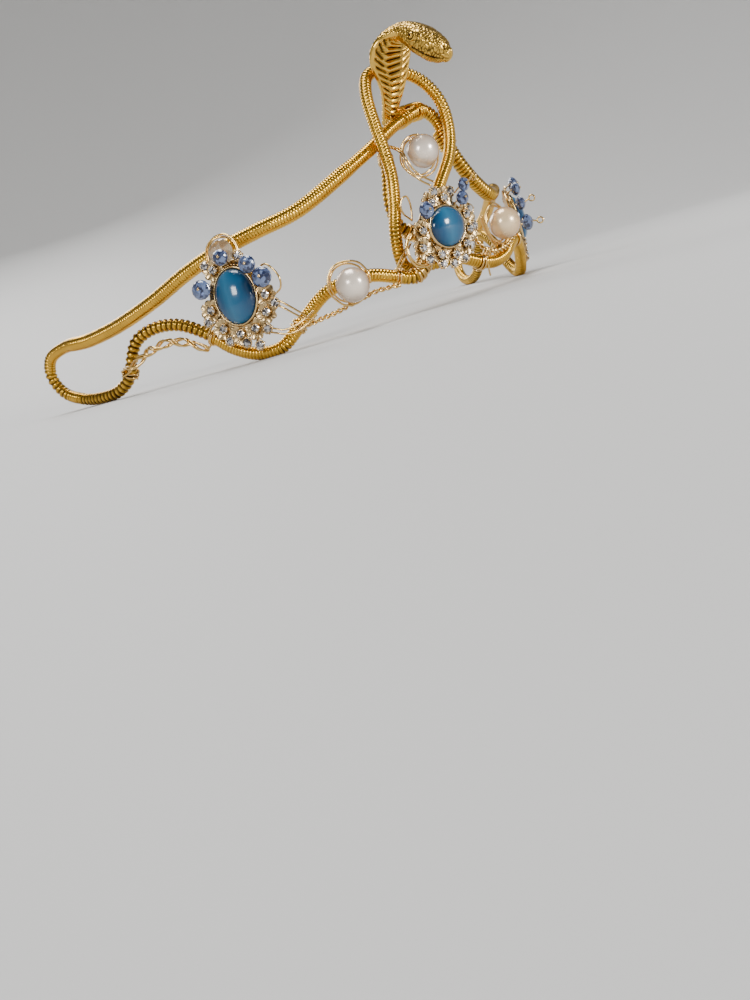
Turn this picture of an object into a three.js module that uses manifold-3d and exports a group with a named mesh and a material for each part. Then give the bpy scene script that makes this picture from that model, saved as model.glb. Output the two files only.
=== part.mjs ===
// Snake crown in the Egyptian style. A bendable gold tube runs round the brow in one long
// figure: two arms with a hairpin at each rear end, and a tall loop that stands over the
// forehead. A cast cobra rears through that loop. Three brooches with blue cabochons, three
// pearls and twisted wire are tied to the tube.
// Millimetres. +X is the wearer's left, +Y the back of the head, +Z up.
// The lower tubes rest on the plane Z = 0.

import * as THREE from 'three';
import { mergeVertices } from 'three/addons/utils/BufferGeometryUtils.js';
import Module from 'manifold-3d';

const wasm = await Module();
wasm.setup();

// ---- driving dimensions ----

const ARM_RADIUS = 3.8;          // tube of the upper arms
const TUBE_RADIUS = 3.3;         // tube of the crossbar, rear hairpins and lower arms
const CREST_RADIUS = 3.1;        // tube of the tall loop, drawn thinner
const TUBE_SIDES = 8;
const TUBE_STEP = 8;             // length of one straight step along a tube
const JOINT = 0.02;              // half of the gap where two stretches meet, in rows of the route

const PEARL_RADIUS = 8;
const WIRE_RADIUS = 0.55;
const BRAID_RADIUS = 1.3;        // two wires twisted together
const WIRE_STEP = 6;
const GAP = 0.3;                 // clear space between pieces that touch
const RING_CLEAR = 1.6;          // the wire ring's radius beyond the pearl's
const RING_ASIDE = 1.9;

const OVAL_SIDES = 20;
const PLATE_THICK = 1.4;
const PLATE_RIM = 4.6;           // how far the plate stands out past the cabochon
const BEZEL_WALL = 1.1;
const BEZEL_HIGH = 2.8;
const CABOCHON_HIGH = 7;
const FLORET_RADIUS = 5.6;
const FLORET_THICK = 2.0;
const FLORET_LOBES = 5;
const STONE_RADIUS = 2.2;
const STONE_RISE = 1.4;
const STONE_SUNK = 0.6;
const CHATON_RADIUS = 2.8;
const STRUT_LONG = 7;
const STRUT_WIDE = 1.8;
const BEAD_FLATNESS = 0.62;      // half height of a glass bead over its radius
const DISC_FLATNESS = 0.3;

const finish = (color, roughness, metalness) =>
  new THREE.MeshStandardMaterial({ color, roughness, metalness });
const GOLD = finish(0xd9a441, 0.25, 1);
const CAST_GOLD = finish(0xc79a48, 0.4, 1);
const PALE_GOLD = finish(0xd8c9a0, 0.3, 1);
const PEARL = finish(0xf1e9de, 0.2, 0);
const BLUE_CABOCHON = finish(0x0f5f93, 0.08, 0);
const BLUE_GLASS = finish(0x7f9fc4, 0.05, 0);
const CLEAR_GLASS = finish(0xe6e2d8, 0.05, 0);

// ---- the long route of the tube ----
// One row for each bend: across (to the wearer's left), back and up, in millimetres.

const CROSSBAR = [
  { across: 28.3, back: 16, up: 77.4 },
  { across: 27.6, back: 17.7, up: 87 },
  { across: 21, back: 18.5, up: 93 },
  { across: 10, back: 18, up: 91.5 },
  { across: -2, back: 17.5, up: 87.5 },
  { across: -15, back: 17.5, up: 81 },
];

const ARM_UPPER_RIGHT_HAND = [
  { across: -37, back: 19, up: 71.5 },
  { across: -62, back: 27, up: 61 },
  { across: -80, back: 39, up: 57.5 },
  { across: -95, back: 54, up: 54 },
  { across: -107, back: 70, up: 49 },
  { across: -119, back: 88, up: 42 },
  { across: -132, back: 111, up: 36 },
  { across: -143, back: 134, up: 33.5 },
];

const REAR_LOOP_RIGHT_HAND = [
  { across: -151, back: 153, up: 34 },
  { across: -156.5, back: 166, up: 30 },
  { across: -158, back: 170, up: 21 },
  { across: -156, back: 164, up: 11 },
];

const ARM_LOWER_RIGHT_HAND = [
  { across: -151, back: 151, up: 5 },
  { across: -146.5, back: 134, up: 3.1 },
  { across: -141, back: 119, up: 4.2 },
  { across: -136.5, back: 109, up: 10 },
  { across: -134.5, back: 104, up: 18 },
  { across: -131, back: 99, up: 25.5 },
  { across: -124, back: 89, up: 29 },
  { across: -116, back: 76, up: 27 },
  { across: -109, back: 63, up: 19 },
  { across: -103, back: 51, up: 8.5 },
  { across: -96, back: 41, up: 3.1 },
  { across: -88, back: 32.5, up: 3.1 },
  { across: -78, back: 25, up: 11.5 },
  { across: -66, back: 17, up: 21 },
  { across: -55, back: 10.5, up: 23.5 },
  { across: -45, back: 5, up: 22.5 },
  { across: -36, back: 1, up: 19 },
  { across: -28, back: -2, up: 16.5 },
];

const CREST = [
  { across: -20.5, back: -2.5, up: 21 },
  { across: -14.5, back: 0, up: 30 },
  { across: -8, back: 2, up: 39 },
  { across: 0, back: 3, up: 48 },
  { across: 9, back: 4.2, up: 57 },
  { across: 20, back: 6.5, up: 68 },
  { across: 27, back: 9.5, up: 81 },
  { across: 28.5, back: 12.5, up: 95 },
  { across: 23, back: 15.5, up: 106 },
  { across: 14, back: 18.8, up: 112.5 },
  { across: 3, back: 20.5, up: 115.5 },
  { across: -7, back: 19, up: 112.5 },
  { across: -13, back: 15.5, up: 104 },
  { across: -16, back: 11.5, up: 90 },
  { across: -17, back: 8.5, up: 77 },
  { across: -19, back: 5.6, up: 64 },
  { across: -24, back: 3, up: 50 },
  { across: -28.5, back: 2.2, up: 38 },
  { across: -27.5, back: 5, up: 27 },
];

const ARM_LOWER_LEFT_HAND = [
  { across: -22, back: 8.5, up: 21 },
  { across: -11, back: 5, up: 20 },
  { across: 2, back: -2.2, up: 19 },
  { across: 13, back: -3.4, up: 14.4 },
  { across: 23.5, back: -2, up: 12.4 },
  { across: 34, back: 0.5, up: 14 },
  { across: 44, back: 5, up: 18.5 },
  { across: 54, back: 11, up: 20 },
  { across: 64, back: 20, up: 13 },
  { across: 72, back: 31, up: 3.1 },
  { across: 79, back: 42, up: 3.1 },
  { across: 87, back: 57, up: 11 },
  { across: 93.5, back: 70, up: 22 },
  { across: 100, back: 84, up: 28 },
  { across: 108.5, back: 98, up: 26.5 },
  { across: 114, back: 108, up: 18.5 },
  { across: 118, back: 116, up: 9.5 },
  { across: 123, back: 128, up: 4 },
  { across: 129, back: 142, up: 3.1 },
];

const REAR_LOOP_LEFT_HAND = [
  { across: 136, back: 155, up: 6.5 },
  { across: 142.5, back: 164, up: 14 },
  { across: 147, back: 165, up: 23 },
  { across: 146.5, back: 156, up: 30 },
];

const ARM_UPPER_LEFT_HAND = [
  { across: 142.5, back: 144, up: 33 },
  { across: 135, back: 128, up: 34 },
  { across: 124, back: 108, up: 37 },
  { across: 112, back: 88, up: 42 },
  { across: 99.5, back: 70, up: 47 },
  { across: 87, back: 54, up: 50 },
  { across: 75, back: 40, up: 49 },
  { across: 62, back: 28.5, up: 46.5 },
  { across: 51, back: 20, up: 47 },
  { across: 40, back: 15.5, up: 54 },
  { across: 33, back: 14.5, up: 63 },
  { across: 29.8, back: 15.1, up: 70.5 },
  { across: 28.5, back: 15.7, up: 76 },
];

const STRETCHES = [
  { name: 'crossbar_tube', rows: CROSSBAR, radius: TUBE_RADIUS },
  { name: 'arm_upper_right', rows: ARM_UPPER_RIGHT_HAND, radius: ARM_RADIUS },
  { name: 'rear_loop_right', rows: REAR_LOOP_RIGHT_HAND, radius: TUBE_RADIUS },
  { name: 'arm_lower_right', rows: ARM_LOWER_RIGHT_HAND, radius: TUBE_RADIUS },
  { name: 'crest_loop', rows: CREST, radius: CREST_RADIUS },
  { name: 'arm_lower_left', rows: ARM_LOWER_LEFT_HAND, radius: TUBE_RADIUS },
  { name: 'rear_loop_left', rows: REAR_LOOP_LEFT_HAND, radius: TUBE_RADIUS },
  { name: 'arm_upper_left', rows: ARM_UPPER_LEFT_HAND, radius: ARM_RADIUS },
];

// The short ribbed tail that hangs behind the crest loop, down to the front brooch.
const TAIL = [
  { across: -10.8, back: 16.6, up: 75.8 },
  { across: -12.8, back: 15, up: 71 },
  { across: -15.8, back: 13.2, up: 63.8 },
  { across: -19.4, back: 11.6, up: 55 },
  { across: -20.6, back: 10.6, up: 48.3 },
  { across: -19.4, back: 10.2, up: 42.6 },
  { across: -15.8, back: 9.4, up: 38 },
  { across: -10.6, back: 8.8, up: 35 },
];

// ---- helpers ----

const point = (row) => new THREE.Vector3(row.across, row.back, row.up);

function route(rows) {
  return new THREE.CatmullRomCurve3(rows.map(point), false, 'centripetal');
}

// Part of a longer curve, between two of its rows.
class Stretch extends THREE.Curve {
  constructor(whole, from, to) {
    super();
    this.whole = whole;
    this.from = from;
    this.to = to;
  }

  getPoint(t) {
    return this.whole.getPoint(THREE.MathUtils.lerp(this.from, this.to, t));
  }
}

function ellipse(halfWide, halfHigh, sides) {
  const shape = new THREE.Shape();
  for (let i = 0; i < sides; i++) {
    const turn = (i / sides) * 2 * Math.PI;
    const x = halfWide * Math.cos(turn);
    const y = halfHigh * Math.sin(turn);
    if (i === 0) shape.moveTo(x, y);
    else shape.lineTo(x, y);
  }
  return shape;
}

const polygon = (radius, sides) => ellipse(radius, radius, sides);

function sweep(curve, radius, sides, step) {
  const steps = Math.max(2, Math.ceil(curve.getLength() / step));
  return new THREE.ExtrudeGeometry(polygon(radius, sides), { steps, extrudePath: curve });
}

function toSolid(geometry) {
  const bare = geometry.clone();
  for (const name of Object.keys(bare.attributes)) {
    if (name !== 'position') bare.deleteAttribute(name);
  }
  const merged = mergeVertices(bare, 1e-4);
  const index = merged.index ? merged.index.array : merged.attributes.position.array.map((_, i) => i);
  return new wasm.Manifold(new wasm.Mesh({
    numProp: 3,
    vertProperties: new Float32Array(merged.attributes.position.array),
    triVerts: new Uint32Array(index),
  }));
}

function toGeometry(solid) {
  const mesh = solid.getMesh();
  const geometry = new THREE.BufferGeometry();
  geometry.setAttribute('position', new THREE.BufferAttribute(mesh.vertProperties, 3));
  geometry.setIndex(new THREE.BufferAttribute(mesh.triVerts, 1));
  geometry.computeVertexNormals();
  return geometry;
}

function fuse(geometries) {
  return toGeometry(geometries.map(toSolid).reduce((whole, next) => whole.add(next)));
}

function cut(geometry, tool) {
  return toGeometry(toSolid(geometry).subtract(toSolid(tool)));
}

function piece(name, geometry, material, parent) {
  const mesh = new THREE.Mesh(geometry, material);
  mesh.name = name;
  parent.add(mesh);
  return mesh;
}

// A frame on the band: local X along the brow, local Y up, local Z out of the crown.
function faceOut(group, seat) {
  const turn = THREE.MathUtils.degToRad(seat.turn);
  const tilt = THREE.MathUtils.degToRad(seat.tilt);
  const out = new THREE.Vector3(
    Math.sin(turn) * Math.cos(tilt), -Math.cos(turn) * Math.cos(tilt), Math.sin(tilt));
  const along = new THREE.Vector3(Math.cos(turn), Math.sin(turn), 0);
  const up = new THREE.Vector3().crossVectors(out, along);
  group.setRotationFromMatrix(new THREE.Matrix4().makeBasis(along, up, out));
  group.position.copy(point(seat));
}

// ---- tube ----

// What lies below the resting plane is cut off, so the lowest bends sit on small flats.
function floorBlock() {
  const size = 400;
  const deep = 10;
  const block = new THREE.BoxGeometry(size, size, deep);
  block.translate(0, size / 4, -deep / 2);
  return block;
}

function addTube(crown) {
  const whole = route(STRETCHES.flatMap((stretch) => stretch.rows));
  const last = whole.points.length - 1;
  let row = 0;
  for (const stretch of STRETCHES) {
    const from = row === 0 ? 0 : row + JOINT;
    const end = row + stretch.rows.length;
    const to = end > last ? last : end - JOINT;
    const curve = new Stretch(whole, from / last, to / last);
    let tube = sweep(curve, stretch.radius, TUBE_SIDES, TUBE_STEP);
    if (stretch.name.startsWith('arm_lower')) tube = cut(tube, floorBlock());
    piece(stretch.name, tube, GOLD, crown);
    row = end;
  }
  piece('tail_tube', sweep(route(TAIL), CREST_RADIUS, TUBE_SIDES, TUBE_STEP), GOLD, crown);
}

// ---- cobra ----
// Sections from the hidden root, up the hood, over the bend of the neck and out to the snout.

const COBRA = [
  { across: 4.6, back: 25.2, up: 87, wide: 8, thick: 6 },
  { across: 4.6, back: 24.8, up: 93.5, wide: 8.6, thick: 6 },
  { across: 4.4, back: 21, up: 99, wide: 10, thick: 6 },
  { across: 3.8, back: 16, up: 105, wide: 14, thick: 6 },
  { across: 3, back: 12.5, up: 111, wide: 19.5, thick: 6 },
  { across: 2.2, back: 10, up: 116.5, wide: 24, thick: 6.2 },
  { across: 2, back: 7.5, up: 121, wide: 23, thick: 6.8 },
  { across: 2.8, back: 3.5, up: 124.5, wide: 16.5, thick: 7.4 },
  { across: 4, back: -1.5, up: 124.6, wide: 11.4, thick: 8.4 },
  { across: 5.2, back: -6.5, up: 121.4, wide: 12, thick: 10.4 },
  { across: 6.5, back: -11, up: 116.8, wide: 13.4, thick: 12.4 },
  { across: 7.8, back: -15.2, up: 112.2, wide: 12.6, thick: 12.6 },
  { across: 8.8, back: -18.6, up: 108.8, wide: 10, thick: 10.6 },
  { across: 9.5, back: -20.8, up: 106.6, wide: 6.4, thick: 7 },
];
const COBRA_EYES = [
  { across: 0.4, back: -11.4, up: 119.2 },
  { across: 12.6, back: -11.4, up: 119.2 },
];
const EYE_RADIUS = 1.5;

// The foot is a short bar behind the crossbar, cast in one with the neck.
const COBRA_FOOT = [
  { across: 2, back: 25.2, up: 92 },
  { across: 14, back: 25.4, up: 96 },
  { across: 26, back: 25.6, up: 95.5 },
];
const FOOT_RADIUS = 2.6;
const COBRA_SIDES = 12;
const SCUTE_RISE = 0.35;         // height of the cross bands on the belly
const SCUTES_END = 6;            // the bands stop where the hood closes into the neck

// Ellipses along a spine, joined to a closed skin. Bands stand up on the belly half.
function cobraSkin() {
  const spine = route(COBRA);
  const count = (COBRA.length - 1) * 2 + 1;
  const positions = [];
  const side = new THREE.Vector3(1, 0, 0);
  for (let i = 0; i < count; i++) {
    const along = (i / (count - 1)) * (COBRA.length - 1);
    const low = COBRA[Math.floor(along)];
    const high = COBRA[Math.ceil(along)];
    const share = along - Math.floor(along);
    const wide = THREE.MathUtils.lerp(low.wide, high.wide, share) / 2;
    const thick = THREE.MathUtils.lerp(low.thick, high.thick, share) / 2;
    const centre = spine.getPoint(i / (count - 1));
    const tangent = spine.getTangent(i / (count - 1));
    const depth = new THREE.Vector3().crossVectors(tangent, side).normalize();
    const across = new THREE.Vector3().crossVectors(depth, tangent).normalize();
    const band = along < SCUTES_END && i % 2 === 1 ? SCUTE_RISE : 0;
    for (let k = 0; k < COBRA_SIDES; k++) {
      const turn = (k / COBRA_SIDES) * 2 * Math.PI;
      const belly = Math.sin(turn) < -0.4 ? band : 0;
      const spot = centre.clone()
        .addScaledVector(across, wide * Math.cos(turn))
        .addScaledVector(depth, (thick + belly) * Math.sin(turn));
      positions.push(spot.x, spot.y, spot.z);
    }
  }
  const index = [];
  for (let i = 0; i < count - 1; i++) {
    for (let k = 0; k < COBRA_SIDES; k++) {
      const next = (k + 1) % COBRA_SIDES;
      const a = i * COBRA_SIDES + k;
      const b = i * COBRA_SIDES + next;
      index.push(a, b, b + COBRA_SIDES, a, b + COBRA_SIDES, a + COBRA_SIDES);
    }
  }
  const lastRing = (count - 1) * COBRA_SIDES;
  for (let k = 1; k < COBRA_SIDES - 1; k++) {
    index.push(0, k + 1, k);
    index.push(lastRing, lastRing + k, lastRing + k + 1);
  }
  const geometry = new THREE.BufferGeometry();
  geometry.setAttribute('position', new THREE.Float32BufferAttribute(positions, 3));
  geometry.setIndex(index);
  return geometry;
}

function cobraEye(row) {
  const eye = new THREE.SphereGeometry(EYE_RADIUS, 8, 6);
  eye.translate(row.across, row.back, row.up);
  return eye;
}

function addCobra(crown) {
  const foot = sweep(route(COBRA_FOOT), FOOT_RADIUS, TUBE_SIDES, TUBE_STEP);
  const figure = fuse([cobraSkin(), foot, ...COBRA_EYES.map(cobraEye)]);
  piece('cobra_figure', figure, CAST_GOLD, crown);
}

// ---- brooches ----
// turn: where the brooch looks, in degrees from straight ahead; lean: its own long axis.
// In a ring of items, at: degrees round the cabochon from its right side; reach: beyond its edge.

const FRONT_BROOCH = {
  name: 'front', across: -7, back: -6.4, up: 34.4, turn: 0, tilt: 0, lean: 0,
  halfWide: 10.2, halfHigh: 9.3,
  ring: [
    { kind: 'floret', at: 14, reach: 4.2 },
    { kind: 'floret', at: 78, reach: 4 },
    { kind: 'floret', at: 112, reach: 4 },
    { kind: 'floret', at: 176, reach: 4.4 },
    { kind: 'floret', at: 202, reach: 8.2 },
    { kind: 'floret', at: 240, reach: 4.2 },
    { kind: 'floret', at: 276, reach: 4.2 },
    { kind: 'floret', at: 312, reach: 4.2 },
    { kind: 'floret', at: 344, reach: 4.2 },
    { kind: 'chaton', at: 222, reach: 9 },
    { kind: 'chaton', at: 247, reach: 8 },
    { kind: 'chaton', at: 268, reach: 7.8 },
    { kind: 'chaton', at: 292, reach: 8 },
    { kind: 'chaton', at: 317, reach: 7 },
    { kind: 'chaton', at: 350, reach: 7.4 },
    { kind: 'chaton', at: 18, reach: 7.8 },
    { kind: 'chaton', at: 64, reach: 7.8 },
    { kind: 'chaton', at: 96, reach: 7.4 },
    { kind: 'crystal', at: 142, reach: 5.6, size: 4 },
    { kind: 'crystal', at: 46, reach: 5.6, size: 3.4 },
    { kind: 'crystal', at: 51, reach: 12, size: 3.2 },
  ],
};

const RIGHT_BROOCH = {
  name: 'right', across: -97, back: 42.4, up: 31, turn: -50, tilt: 10, lean: 2,
  halfWide: 10, halfHigh: 13,
  ring: [
    { kind: 'floret', at: 122, reach: 4.8 },
    { kind: 'floret', at: 188, reach: 4.6 },
    { kind: 'floret', at: 224, reach: 5 },
    { kind: 'floret', at: 258, reach: 4.6 },
    { kind: 'floret', at: 289, reach: 5 },
    { kind: 'floret', at: 322, reach: 5.6 },
    { kind: 'floret', at: 348, reach: 4.4 },
    { kind: 'chaton', at: 68, reach: 6 },
    { kind: 'chaton', at: 126, reach: 9.6 },
    { kind: 'chaton', at: 199, reach: 8.6 },
    { kind: 'chaton', at: 240, reach: 8.6 },
    { kind: 'chaton', at: 266, reach: 9 },
    { kind: 'chaton', at: 282, reach: 12.4 },
    { kind: 'chaton', at: 303, reach: 9.4 },
    { kind: 'chaton', at: 337, reach: 9 },
    { kind: 'crystal', at: 86, reach: 4.4, size: 3.7, lift: 4.2 },
    { kind: 'crystal', at: 40, reach: 4.6, size: 4.2 },
    { kind: 'crystal', at: 10, reach: 7, size: 4.8 },
    { kind: 'crystal', at: 157, reach: 5.6, size: 4.7 },
    { kind: 'disc', at: 94, reach: 8.4, size: 6.3 },
  ],
};

const LEFT_BROOCH = {
  name: 'left', across: 84.6, back: 42.2, up: 30.5, turn: 50, tilt: 3, lean: 0,
  halfWide: 10, halfHigh: 13,
  ring: [
    { kind: 'floret', at: 52, reach: 5.2 },
    { kind: 'floret', at: 18, reach: 5.2 },
    { kind: 'floret', at: 342, reach: 5.2 },
    { kind: 'floret', at: 300, reach: 5.2 },
    { kind: 'floret', at: 264, reach: 5.2 },
    { kind: 'floret', at: 228, reach: 5.2 },
    { kind: 'chaton', at: 35, reach: 9.4 },
    { kind: 'chaton', at: 0, reach: 9 },
    { kind: 'chaton', at: 282, reach: 9.8 },
    { kind: 'chaton', at: 246, reach: 9.8 },
    { kind: 'chaton', at: 320, reach: 9.6 },
    { kind: 'crystal', at: 88, reach: 5.6, size: 4.2 },
    { kind: 'crystal', at: 124, reach: 5.6, size: 3.9 },
    { kind: 'crystal', at: 158, reach: 5.6, size: 3.9 },
    { kind: 'crystal', at: 192, reach: 6.4, size: 4.6 },
  ],
};

function raise(shape, low, high) {
  const geometry = new THREE.ExtrudeGeometry(shape, { depth: high - low, bevelEnabled: false });
  geometry.translate(0, 0, low);
  return geometry;
}

function bezel(brooch) {
  const wide = brooch.halfWide + GAP;
  const high = brooch.halfHigh + GAP;
  const wall = ellipse(wide + BEZEL_WALL, high + BEZEL_WALL, OVAL_SIDES);
  const opening = ellipse(wide, high, OVAL_SIDES);
  wall.holes.push(opening);
  return raise(wall, 0, BEZEL_HIGH + PLATE_THICK);
}

// A five-lobed flower with a cut stone on its middle.
function floret(x, y) {
  const points = FLORET_LOBES * 4;
  const shape = new THREE.Shape();
  for (let i = 0; i < points; i++) {
    const turn = (i / points) * 2 * Math.PI;
    const radius = FLORET_RADIUS * (0.86 + 0.14 * Math.cos(FLORET_LOBES * turn));
    const px = radius * Math.cos(turn);
    const py = radius * Math.sin(turn);
    if (i === 0) shape.moveTo(px, py);
    else shape.lineTo(px, py);
  }
  const flower = raise(shape, 0, FLORET_THICK);
  flower.translate(x, y, 0);
  return [flower, cutStone(x, y, STONE_RADIUS, FLORET_THICK)];
}

function chaton(x, y) {
  const cup = raise(polygon(CHATON_RADIUS, 8), 0, FLORET_THICK);
  cup.translate(x, y, 0);
  return [cup, strut(x, y), cutStone(x, y, STONE_RADIUS, FLORET_THICK)];
}

// A flat strut that carries a stone seat out from the plate.
function strut(x, y) {
  const bar = new THREE.BoxGeometry(STRUT_LONG, STRUT_WIDE, PLATE_THICK);
  bar.translate(-STRUT_LONG / 2, 0, PLATE_THICK / 2);
  bar.rotateZ(Math.atan2(y, x));
  bar.translate(x, y, 0);
  return bar;
}

// Eight crown facets and a flat table, seated a little below the metal's face.
function cutStone(x, y, radius, seat) {
  const stone = new THREE.CylinderGeometry(radius * 0.55, radius, STONE_RISE + STONE_SUNK, 8);
  stone.rotateX(Math.PI / 2);
  stone.translate(x, y, seat + (STONE_RISE - STONE_SUNK) / 2);
  return stone;
}

// A glass bead with eight facets above and below its girdle, and a flat at each end.
function crystal(radius, halfHigh) {
  const girdle = halfHigh * 0.2;
  const profile = [
    new THREE.Vector2(0, -halfHigh),
    new THREE.Vector2(radius * 0.5, -halfHigh),
    new THREE.Vector2(radius, -girdle),
    new THREE.Vector2(radius, girdle),
    new THREE.Vector2(radius * 0.5, halfHigh),
    new THREE.Vector2(0, halfHigh),
  ];
  const bead = new THREE.LatheGeometry(profile, 8);
  bead.rotateX(Math.PI / 2);
  return bead;
}

function cabochon(brooch) {
  const girdle = 1.6;
  const rings = 5;
  const profile = [new THREE.Vector2(0, 0), new THREE.Vector2(1, 0)];
  for (let i = 0; i <= rings; i++) {
    const turn = (i / rings) * (Math.PI / 2);
    const radius = i === rings ? 0 : Math.cos(turn);
    profile.push(new THREE.Vector2(radius, girdle + (CABOCHON_HIGH - girdle) * Math.sin(turn)));
  }
  const dome = new THREE.LatheGeometry(profile, OVAL_SIDES);
  dome.rotateX(Math.PI / 2);
  dome.scale(brooch.halfWide, brooch.halfHigh, 1);
  return dome;
}

function itemPlace(brooch, item) {
  const turn = THREE.MathUtils.degToRad(item.at);
  return {
    x: (brooch.halfWide + item.reach) * Math.cos(turn),
    y: (brooch.halfHigh + item.reach) * Math.sin(turn),
  };
}

function addBrooch(brooch, crown) {
  const group = new THREE.Group();
  faceOut(group, brooch);
  group.rotateZ(THREE.MathUtils.degToRad(brooch.lean));
  crown.add(group);

  const outline = ellipse(brooch.halfWide + PLATE_RIM, brooch.halfHigh + PLATE_RIM, OVAL_SIDES);
  const plate = raise(outline, 0, PLATE_THICK);
  const metal = [plate, bezel(brooch)];
  let beads = 0;
  for (const item of brooch.ring) {
    const { x, y } = itemPlace(brooch, item);
    if (item.kind === 'floret') metal.push(...floret(x, y));
    else if (item.kind === 'chaton') metal.push(...chaton(x, y));
    else {
      beads += 1;
      const clear = item.kind === 'disc';
      const name = clear ? `clear_disc_${brooch.name}` : `blue_crystal_${brooch.name}_${beads}`;
      const halfHigh = item.size * (clear ? DISC_FLATNESS : BEAD_FLATNESS);
      const seat = clear ? PLATE_THICK + GAP : BEZEL_HIGH + PLATE_THICK + GAP + (item.lift ?? 0);
      const glass = clear ? CLEAR_GLASS : BLUE_GLASS;
      const bead = piece(name, crystal(item.size, halfHigh), glass, group);
      bead.position.set(x, y, seat + halfHigh);
    }
  }
  const well = ellipse(brooch.halfWide + GAP, brooch.halfHigh + GAP, OVAL_SIDES);
  const setting = cut(fuse(metal), raise(well, PLATE_THICK, CABOCHON_HIGH));
  piece(`brooch_setting_${brooch.name}`, setting, PALE_GOLD, group);
  const stone = piece(`cabochon_${brooch.name}`, cabochon(brooch), BLUE_CABOCHON, group);
  stone.position.z = PLATE_THICK + GAP;
}

// ---- pearls and their wire ----

const PEARLS = [
  { name: 'centre', across: 3, back: 5, up: 72, turn: -15, tilt: 0, shift: 225 },
  { name: 'right', across: -61.3, back: 0.4, up: 21, turn: -32, tilt: 0, shift: 135 },
  { name: 'left', across: 35, back: -4, up: 28.8, turn: 14, tilt: 0, shift: 150 },
];

// The wire ring lies behind the middle of the pearl and shows past its edge on one side.
function addPearl(pearl, crown) {
  const group = new THREE.Group();
  faceOut(group, pearl);
  crown.add(group);
  piece(`pearl_${pearl.name}`, new THREE.SphereGeometry(PEARL_RADIUS, 14, 10), PEARL, group);
  const ring = new THREE.TorusGeometry(PEARL_RADIUS + RING_CLEAR, WIRE_RADIUS, 6, 20);
  const wire = piece(`pearl_wire_${pearl.name}`, ring, PALE_GOLD, group);
  const shift = THREE.MathUtils.degToRad(pearl.shift);
  const behind = PEARL_RADIUS * 0.55;
  wire.position.set(RING_ASIDE * Math.cos(shift), RING_ASIDE * Math.sin(shift), -behind);
}

// ---- twisted wire beside the lower arms ----

const BRAIDS = [
  {
    name: 'braid_right_rear',
    rows: [
      { across: -141, back: 107, up: 12 },
      { across: -136, back: 97, up: 15 },
      { across: -128, back: 85, up: 20 },
      { across: -119.5, back: 73, up: 19 },
      { across: -112, back: 61, up: 12 },
    ],
  },
  {
    name: 'braid_right_front',
    rows: [
      { across: -83, back: 20.5, up: 9 },
      { across: -76, back: 14.5, up: 10.2 },
      { across: -67.5, back: 9.6, up: 11.4 },
      { across: -57.5, back: 6.6, up: 13.4 },
      { across: -47, back: 2.6, up: 15.2 },
      { across: -38, back: -3, up: 14.8 },
    ],
  },
  {
    name: 'braid_left_front',
    rows: [
      { across: 15, back: -7, up: 18.6 },
      { across: 23.5, back: -5.3, up: 16.7 },
      { across: 34, back: -2.6, up: 17.8 },
      { across: 45, back: 1.4, up: 22.2 },
      { across: 53, back: 6, up: 25 },
    ],
  },
  {
    name: 'braid_left_rear',
    rows: [
      { across: 97, back: 66, up: 14.5 },
      { across: 104, back: 79, up: 20 },
      { across: 111.5, back: 93, up: 20 },
      { across: 118, back: 104, up: 15 },
      { across: 123, back: 113, up: 12 },
    ],
  },
];

function addBraids(crown) {
  for (const braid of BRAIDS) {
    piece(braid.name, sweep(route(braid.rows), BRAID_RADIUS, 6, WIRE_STEP), PALE_GOLD, crown);
  }
}

// ---- assembly ----

const crown = new THREE.Group();
addTube(crown);
addCobra(crown);
for (const brooch of [FRONT_BROOCH, RIGHT_BROOCH, LEFT_BROOCH]) addBrooch(brooch, crown);
for (const pearl of PEARLS) addPearl(pearl, crown);
addBraids(crown);

// The origin is under the middle of the whole crown, on the plane that it rests on.
crown.updateMatrixWorld(true);
const size = new THREE.Box3().setFromObject(crown, true);
const middle = size.getCenter(new THREE.Vector3());
crown.position.set(-middle.x, -middle.y, -size.min.z);

export default crown;
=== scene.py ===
# %% [markdown]
# # A snake crown of bent gold tube
#
# The real object is worn low on the brow. One long gooseneck tube, made of wire wound so closely
# that it can be bent by hand, goes round the head in a single figure: two arms with a hairpin at
# each rear end, and a tall loop over the forehead. A cast cobra rears through the loop. Three
# brooches, three pearls and a good deal of wire are tied to the tube.
#
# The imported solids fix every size. This script loads them first and dresses them piece by piece.

# %% Load the frame
import math
import random
from collections import namedtuple

import bpy
from mathutils import Matrix, Vector, noise


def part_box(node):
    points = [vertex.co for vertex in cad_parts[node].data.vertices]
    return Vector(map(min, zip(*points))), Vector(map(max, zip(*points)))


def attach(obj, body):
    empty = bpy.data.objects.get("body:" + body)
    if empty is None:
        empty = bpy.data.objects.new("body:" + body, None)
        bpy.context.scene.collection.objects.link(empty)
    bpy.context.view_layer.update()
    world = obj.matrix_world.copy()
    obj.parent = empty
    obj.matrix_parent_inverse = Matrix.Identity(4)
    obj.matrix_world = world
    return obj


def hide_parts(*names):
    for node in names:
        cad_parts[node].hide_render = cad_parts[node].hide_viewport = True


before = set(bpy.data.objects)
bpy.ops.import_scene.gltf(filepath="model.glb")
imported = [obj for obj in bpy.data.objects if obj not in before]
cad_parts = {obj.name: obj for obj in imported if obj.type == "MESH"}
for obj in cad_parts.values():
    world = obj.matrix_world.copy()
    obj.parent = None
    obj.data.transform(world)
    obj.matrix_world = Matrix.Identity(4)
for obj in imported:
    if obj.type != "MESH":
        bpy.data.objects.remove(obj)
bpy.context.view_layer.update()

# %% [markdown]
# ## Where things are
#
# A maker bends this tube from a list of places. Each row says how far across (to the wearer's
# left), how far back and how far up a bend lies, in millimetres, measured from the middle of the
# brow. The frame's own origin is elsewhere, so the middle pearl, whose place is known in both,
# gives the shift between them.

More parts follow.
